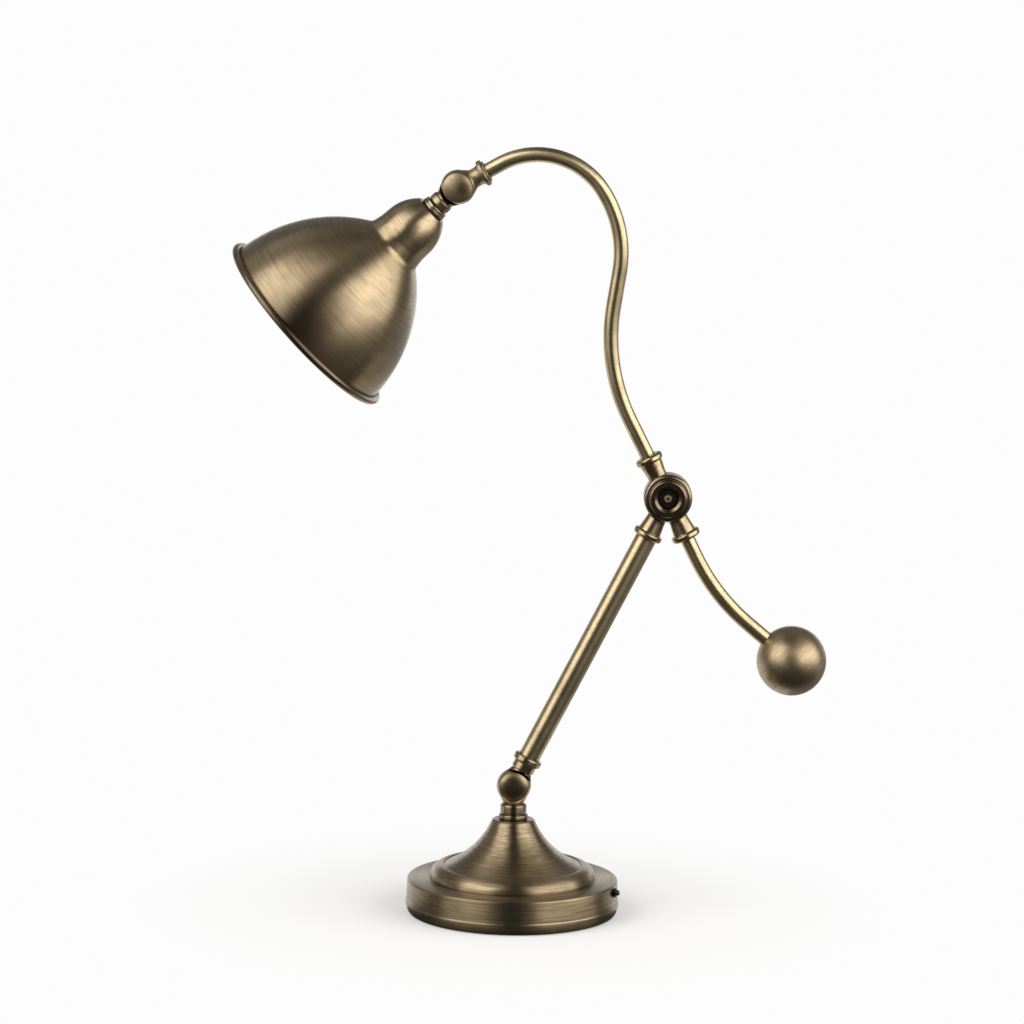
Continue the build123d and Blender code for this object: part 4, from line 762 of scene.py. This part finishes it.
class LAMP_OT_stage(Operator):
    """Lay the floor, light it softly and set the camera"""

    bl_idname = "lamp.stage"
    bl_label = "Studio"

    def execute(self, context):
        scene = context.scene
        scene.view_settings.view_transform = "Standard"

        def build(name, mesh, material):
            data = bpy.data.meshes.new(name)
            mesh.to_mesh(data)
            mesh.free()
            data.materials.append(material)
            made = bpy.data.objects.new(name, data)
            scene.collection.objects.link(made)
            return made

        def seen(tree):
            """One for the camera and for what metal and glass show, nought for the light that falls on pieces."""
            path = add(tree, "ShaderNodeLightPath").outputs
            share = path["Is Camera Ray"]
            for kind in ("Is Glossy Ray", "Is Transmission Ray"):
                share = add(tree, "ShaderNodeMath", {0: share, 1: path[kind]}, operation="MAXIMUM").outputs[0]
            return share

        def glow(name, tone, size, place):
            """A card that only bright metal sees."""
            grey, _, shader = new_finish("glow_" + name)
            settle(shader, Base_Color=(0, 0, 0, 1), Roughness=1.0, Specular_IOR_Level=0.0)
            settle(shader, Emission_Color=(1, 1, 1, 1), Emission_Strength=tone)
            grey.cycles.emission_sampling = "NONE"
            mesh = bmesh.new()
            bmesh.ops.create_grid(mesh, x_segments=1, y_segments=1, size=0.5)
            bmesh.ops.scale(mesh, vec=(*size, 1.0), verts=mesh.verts)
            bmesh.ops.transform(mesh, matrix=place, verts=mesh.verts)
            card = build("card_" + name, mesh, grey)
            card.visible_camera = card.visible_shadow = card.visible_diffuse = card.visible_transmission = False

        # pale floor that keeps the soft shadow near the lamp and runs to white away from it
        material, tree, shader = new_finish("pale_floor")
        settle(shader, Base_Color=linear("#e9e8e6"), Roughness=0.9, Specular_IOR_Level=0.0)
        settle(shader, Emission_Color=(1, 1, 1, 1))
        whole = seen(tree)
        place = add(tree, "ShaderNodeTexCoord").outputs["Object"]
        away = add(tree, "ShaderNodeVectorMath", {0: place}, operation="LENGTH").outputs["Value"]
        fade = add(
            tree, "ShaderNodeMapRange", {"Value": away, "From Min": FADE[0], "From Max": FADE[1]},
            interpolation_type="SMOOTHSTEP",
        ).outputs[0]
        white = add(tree, "ShaderNodeEmission", {"Color": (1, 1, 1, 1), "Strength": WHITE}).outputs[0]
        far = add(tree, "ShaderNodeMath", {0: fade, 1: whole}, operation="MULTIPLY").outputs[0]
        mix = add(tree, "ShaderNodeMixShader", {0: far, 1: shader.outputs[0], 2: white}).outputs[0]
        lift = add(tree, "ShaderNodeMath", {0: whole, 1: LIFT}, operation="MULTIPLY").outputs[0]
        tree.links.new(lift, shader.inputs["Emission Strength"])
        tree.links.new(mix, tree.nodes["Material Output"].inputs["Surface"])
        ground = bmesh.new()
        bmesh.ops.create_grid(ground, x_segments=1, y_segments=1, size=FLOOR_HALF)
        build("floor", ground, material)

        for name, tone, size, centre, facing in ROOM:
            glow(name, tone, size, Matrix.Translation(centre) @ FACING[facing])

        for name, turn, rise, wide, high, power in SOFTBOXES:
            light = bpy.data.lights.new("softbox_" + name, "AREA")
            light.shape = "RECTANGLE"
            light.size, light.size_y, light.energy = wide, high, power
            held = bpy.data.objects.new(light.name, light)
            level = Vector((sin(radians(turn)), -cos(radians(turn)), 0))
            way = level * cos(radians(rise)) + UP * sin(radians(rise))
            facing = way.to_track_quat("Z", "Y")
            held.location = AIM + way * REACH
            held.rotation_euler = facing.to_euler()
            scene.collection.objects.link(held)
            # the cloth round a softbox glows too, so its reflection fades out at the edge
            behind = Matrix.Translation(held.location + way * HALO_BACK) @ facing.to_matrix().to_4x4()
            glow("halo_" + name, HALO_TONE, (wide * HALO, high * HALO), behind)

        world = bpy.data.worlds.new("soft_studio")
        scene.world = world
        world.use_nodes = True
        tree = world.node_tree
        strength = add(tree, "ShaderNodeMapRange", {"Value": seen(tree), "To Min": DIM, "To Max": WHITE}).outputs[0]
        sky = tree.nodes["Background"]
        sky.inputs["Color"].default_value = (1, 1, 1, 1)
        tree.links.new(strength, sky.inputs["Strength"])

        view = bpy.data.cameras.new("camera")
        view.sensor_width = SENSOR
        view.lens = SENSOR * FOCAL
        view.clip_end = 50.0
        held = bpy.data.objects.new("camera", view)
        back = Vector((0, -cos(PITCH), sin(PITCH)))
        above = Vector((0, sin(PITCH), cos(PITCH)))
        right = RIGHT * cos(ROLL) + above * sin(ROLL)
        top = above * cos(ROLL) - RIGHT * sin(ROLL)
        held.matrix_world = Matrix.Translation(CAMERA) @ Matrix((right, top, back)).transposed().to_4x4()
        scene.collection.objects.link(held)
        scene.camera = held
        return {"FINISHED"}


class LAMP_PT_panel(Panel):
    """Lamp's sizes, finishes and pieces"""

    bl_idname = "LAMP_PT_panel"
    bl_label = "Desk lamp"
    bl_space_type = "VIEW_3D"
    bl_region_type = "UI"
    bl_category = "Lamp"

    def draw(self, context):
        for settings in (context.scene.lamp_sizes, context.scene.lamp_finish):
            for name in settings.__annotations__:
                self.layout.prop(settings, name)
        for operator in PIECES:
            self.layout.operator(operator.bl_idname)


PIECES = (
    LAMP_OT_base, LAMP_OT_knuckles, LAMP_OT_arm, LAMP_OT_hub, LAMP_OT_beam, LAMP_OT_counterweight, LAMP_OT_shade,
    LAMP_OT_lampholder, LAMP_OT_fittings, LAMP_OT_stage,
)
CLASSES = (LampSizes, LampFinish, *PIECES, LAMP_PT_panel)


def register():
    for kind in CLASSES:
        bpy.utils.register_class(kind)
    bpy.types.Scene.lamp_sizes = PointerProperty(type=LampSizes)
    bpy.types.Scene.lamp_finish = PointerProperty(type=LampFinish)


def unregister():
    del bpy.types.Scene.lamp_finish
    del bpy.types.Scene.lamp_sizes
    for kind in reversed(CLASSES):
        bpy.utils.unregister_class(kind)


def main():
    register()
    for operator in PIECES:
        group, name = operator.bl_idname.split(".")
        getattr(getattr(bpy.ops, group), name)()


if __name__ == "__main__":
    main()
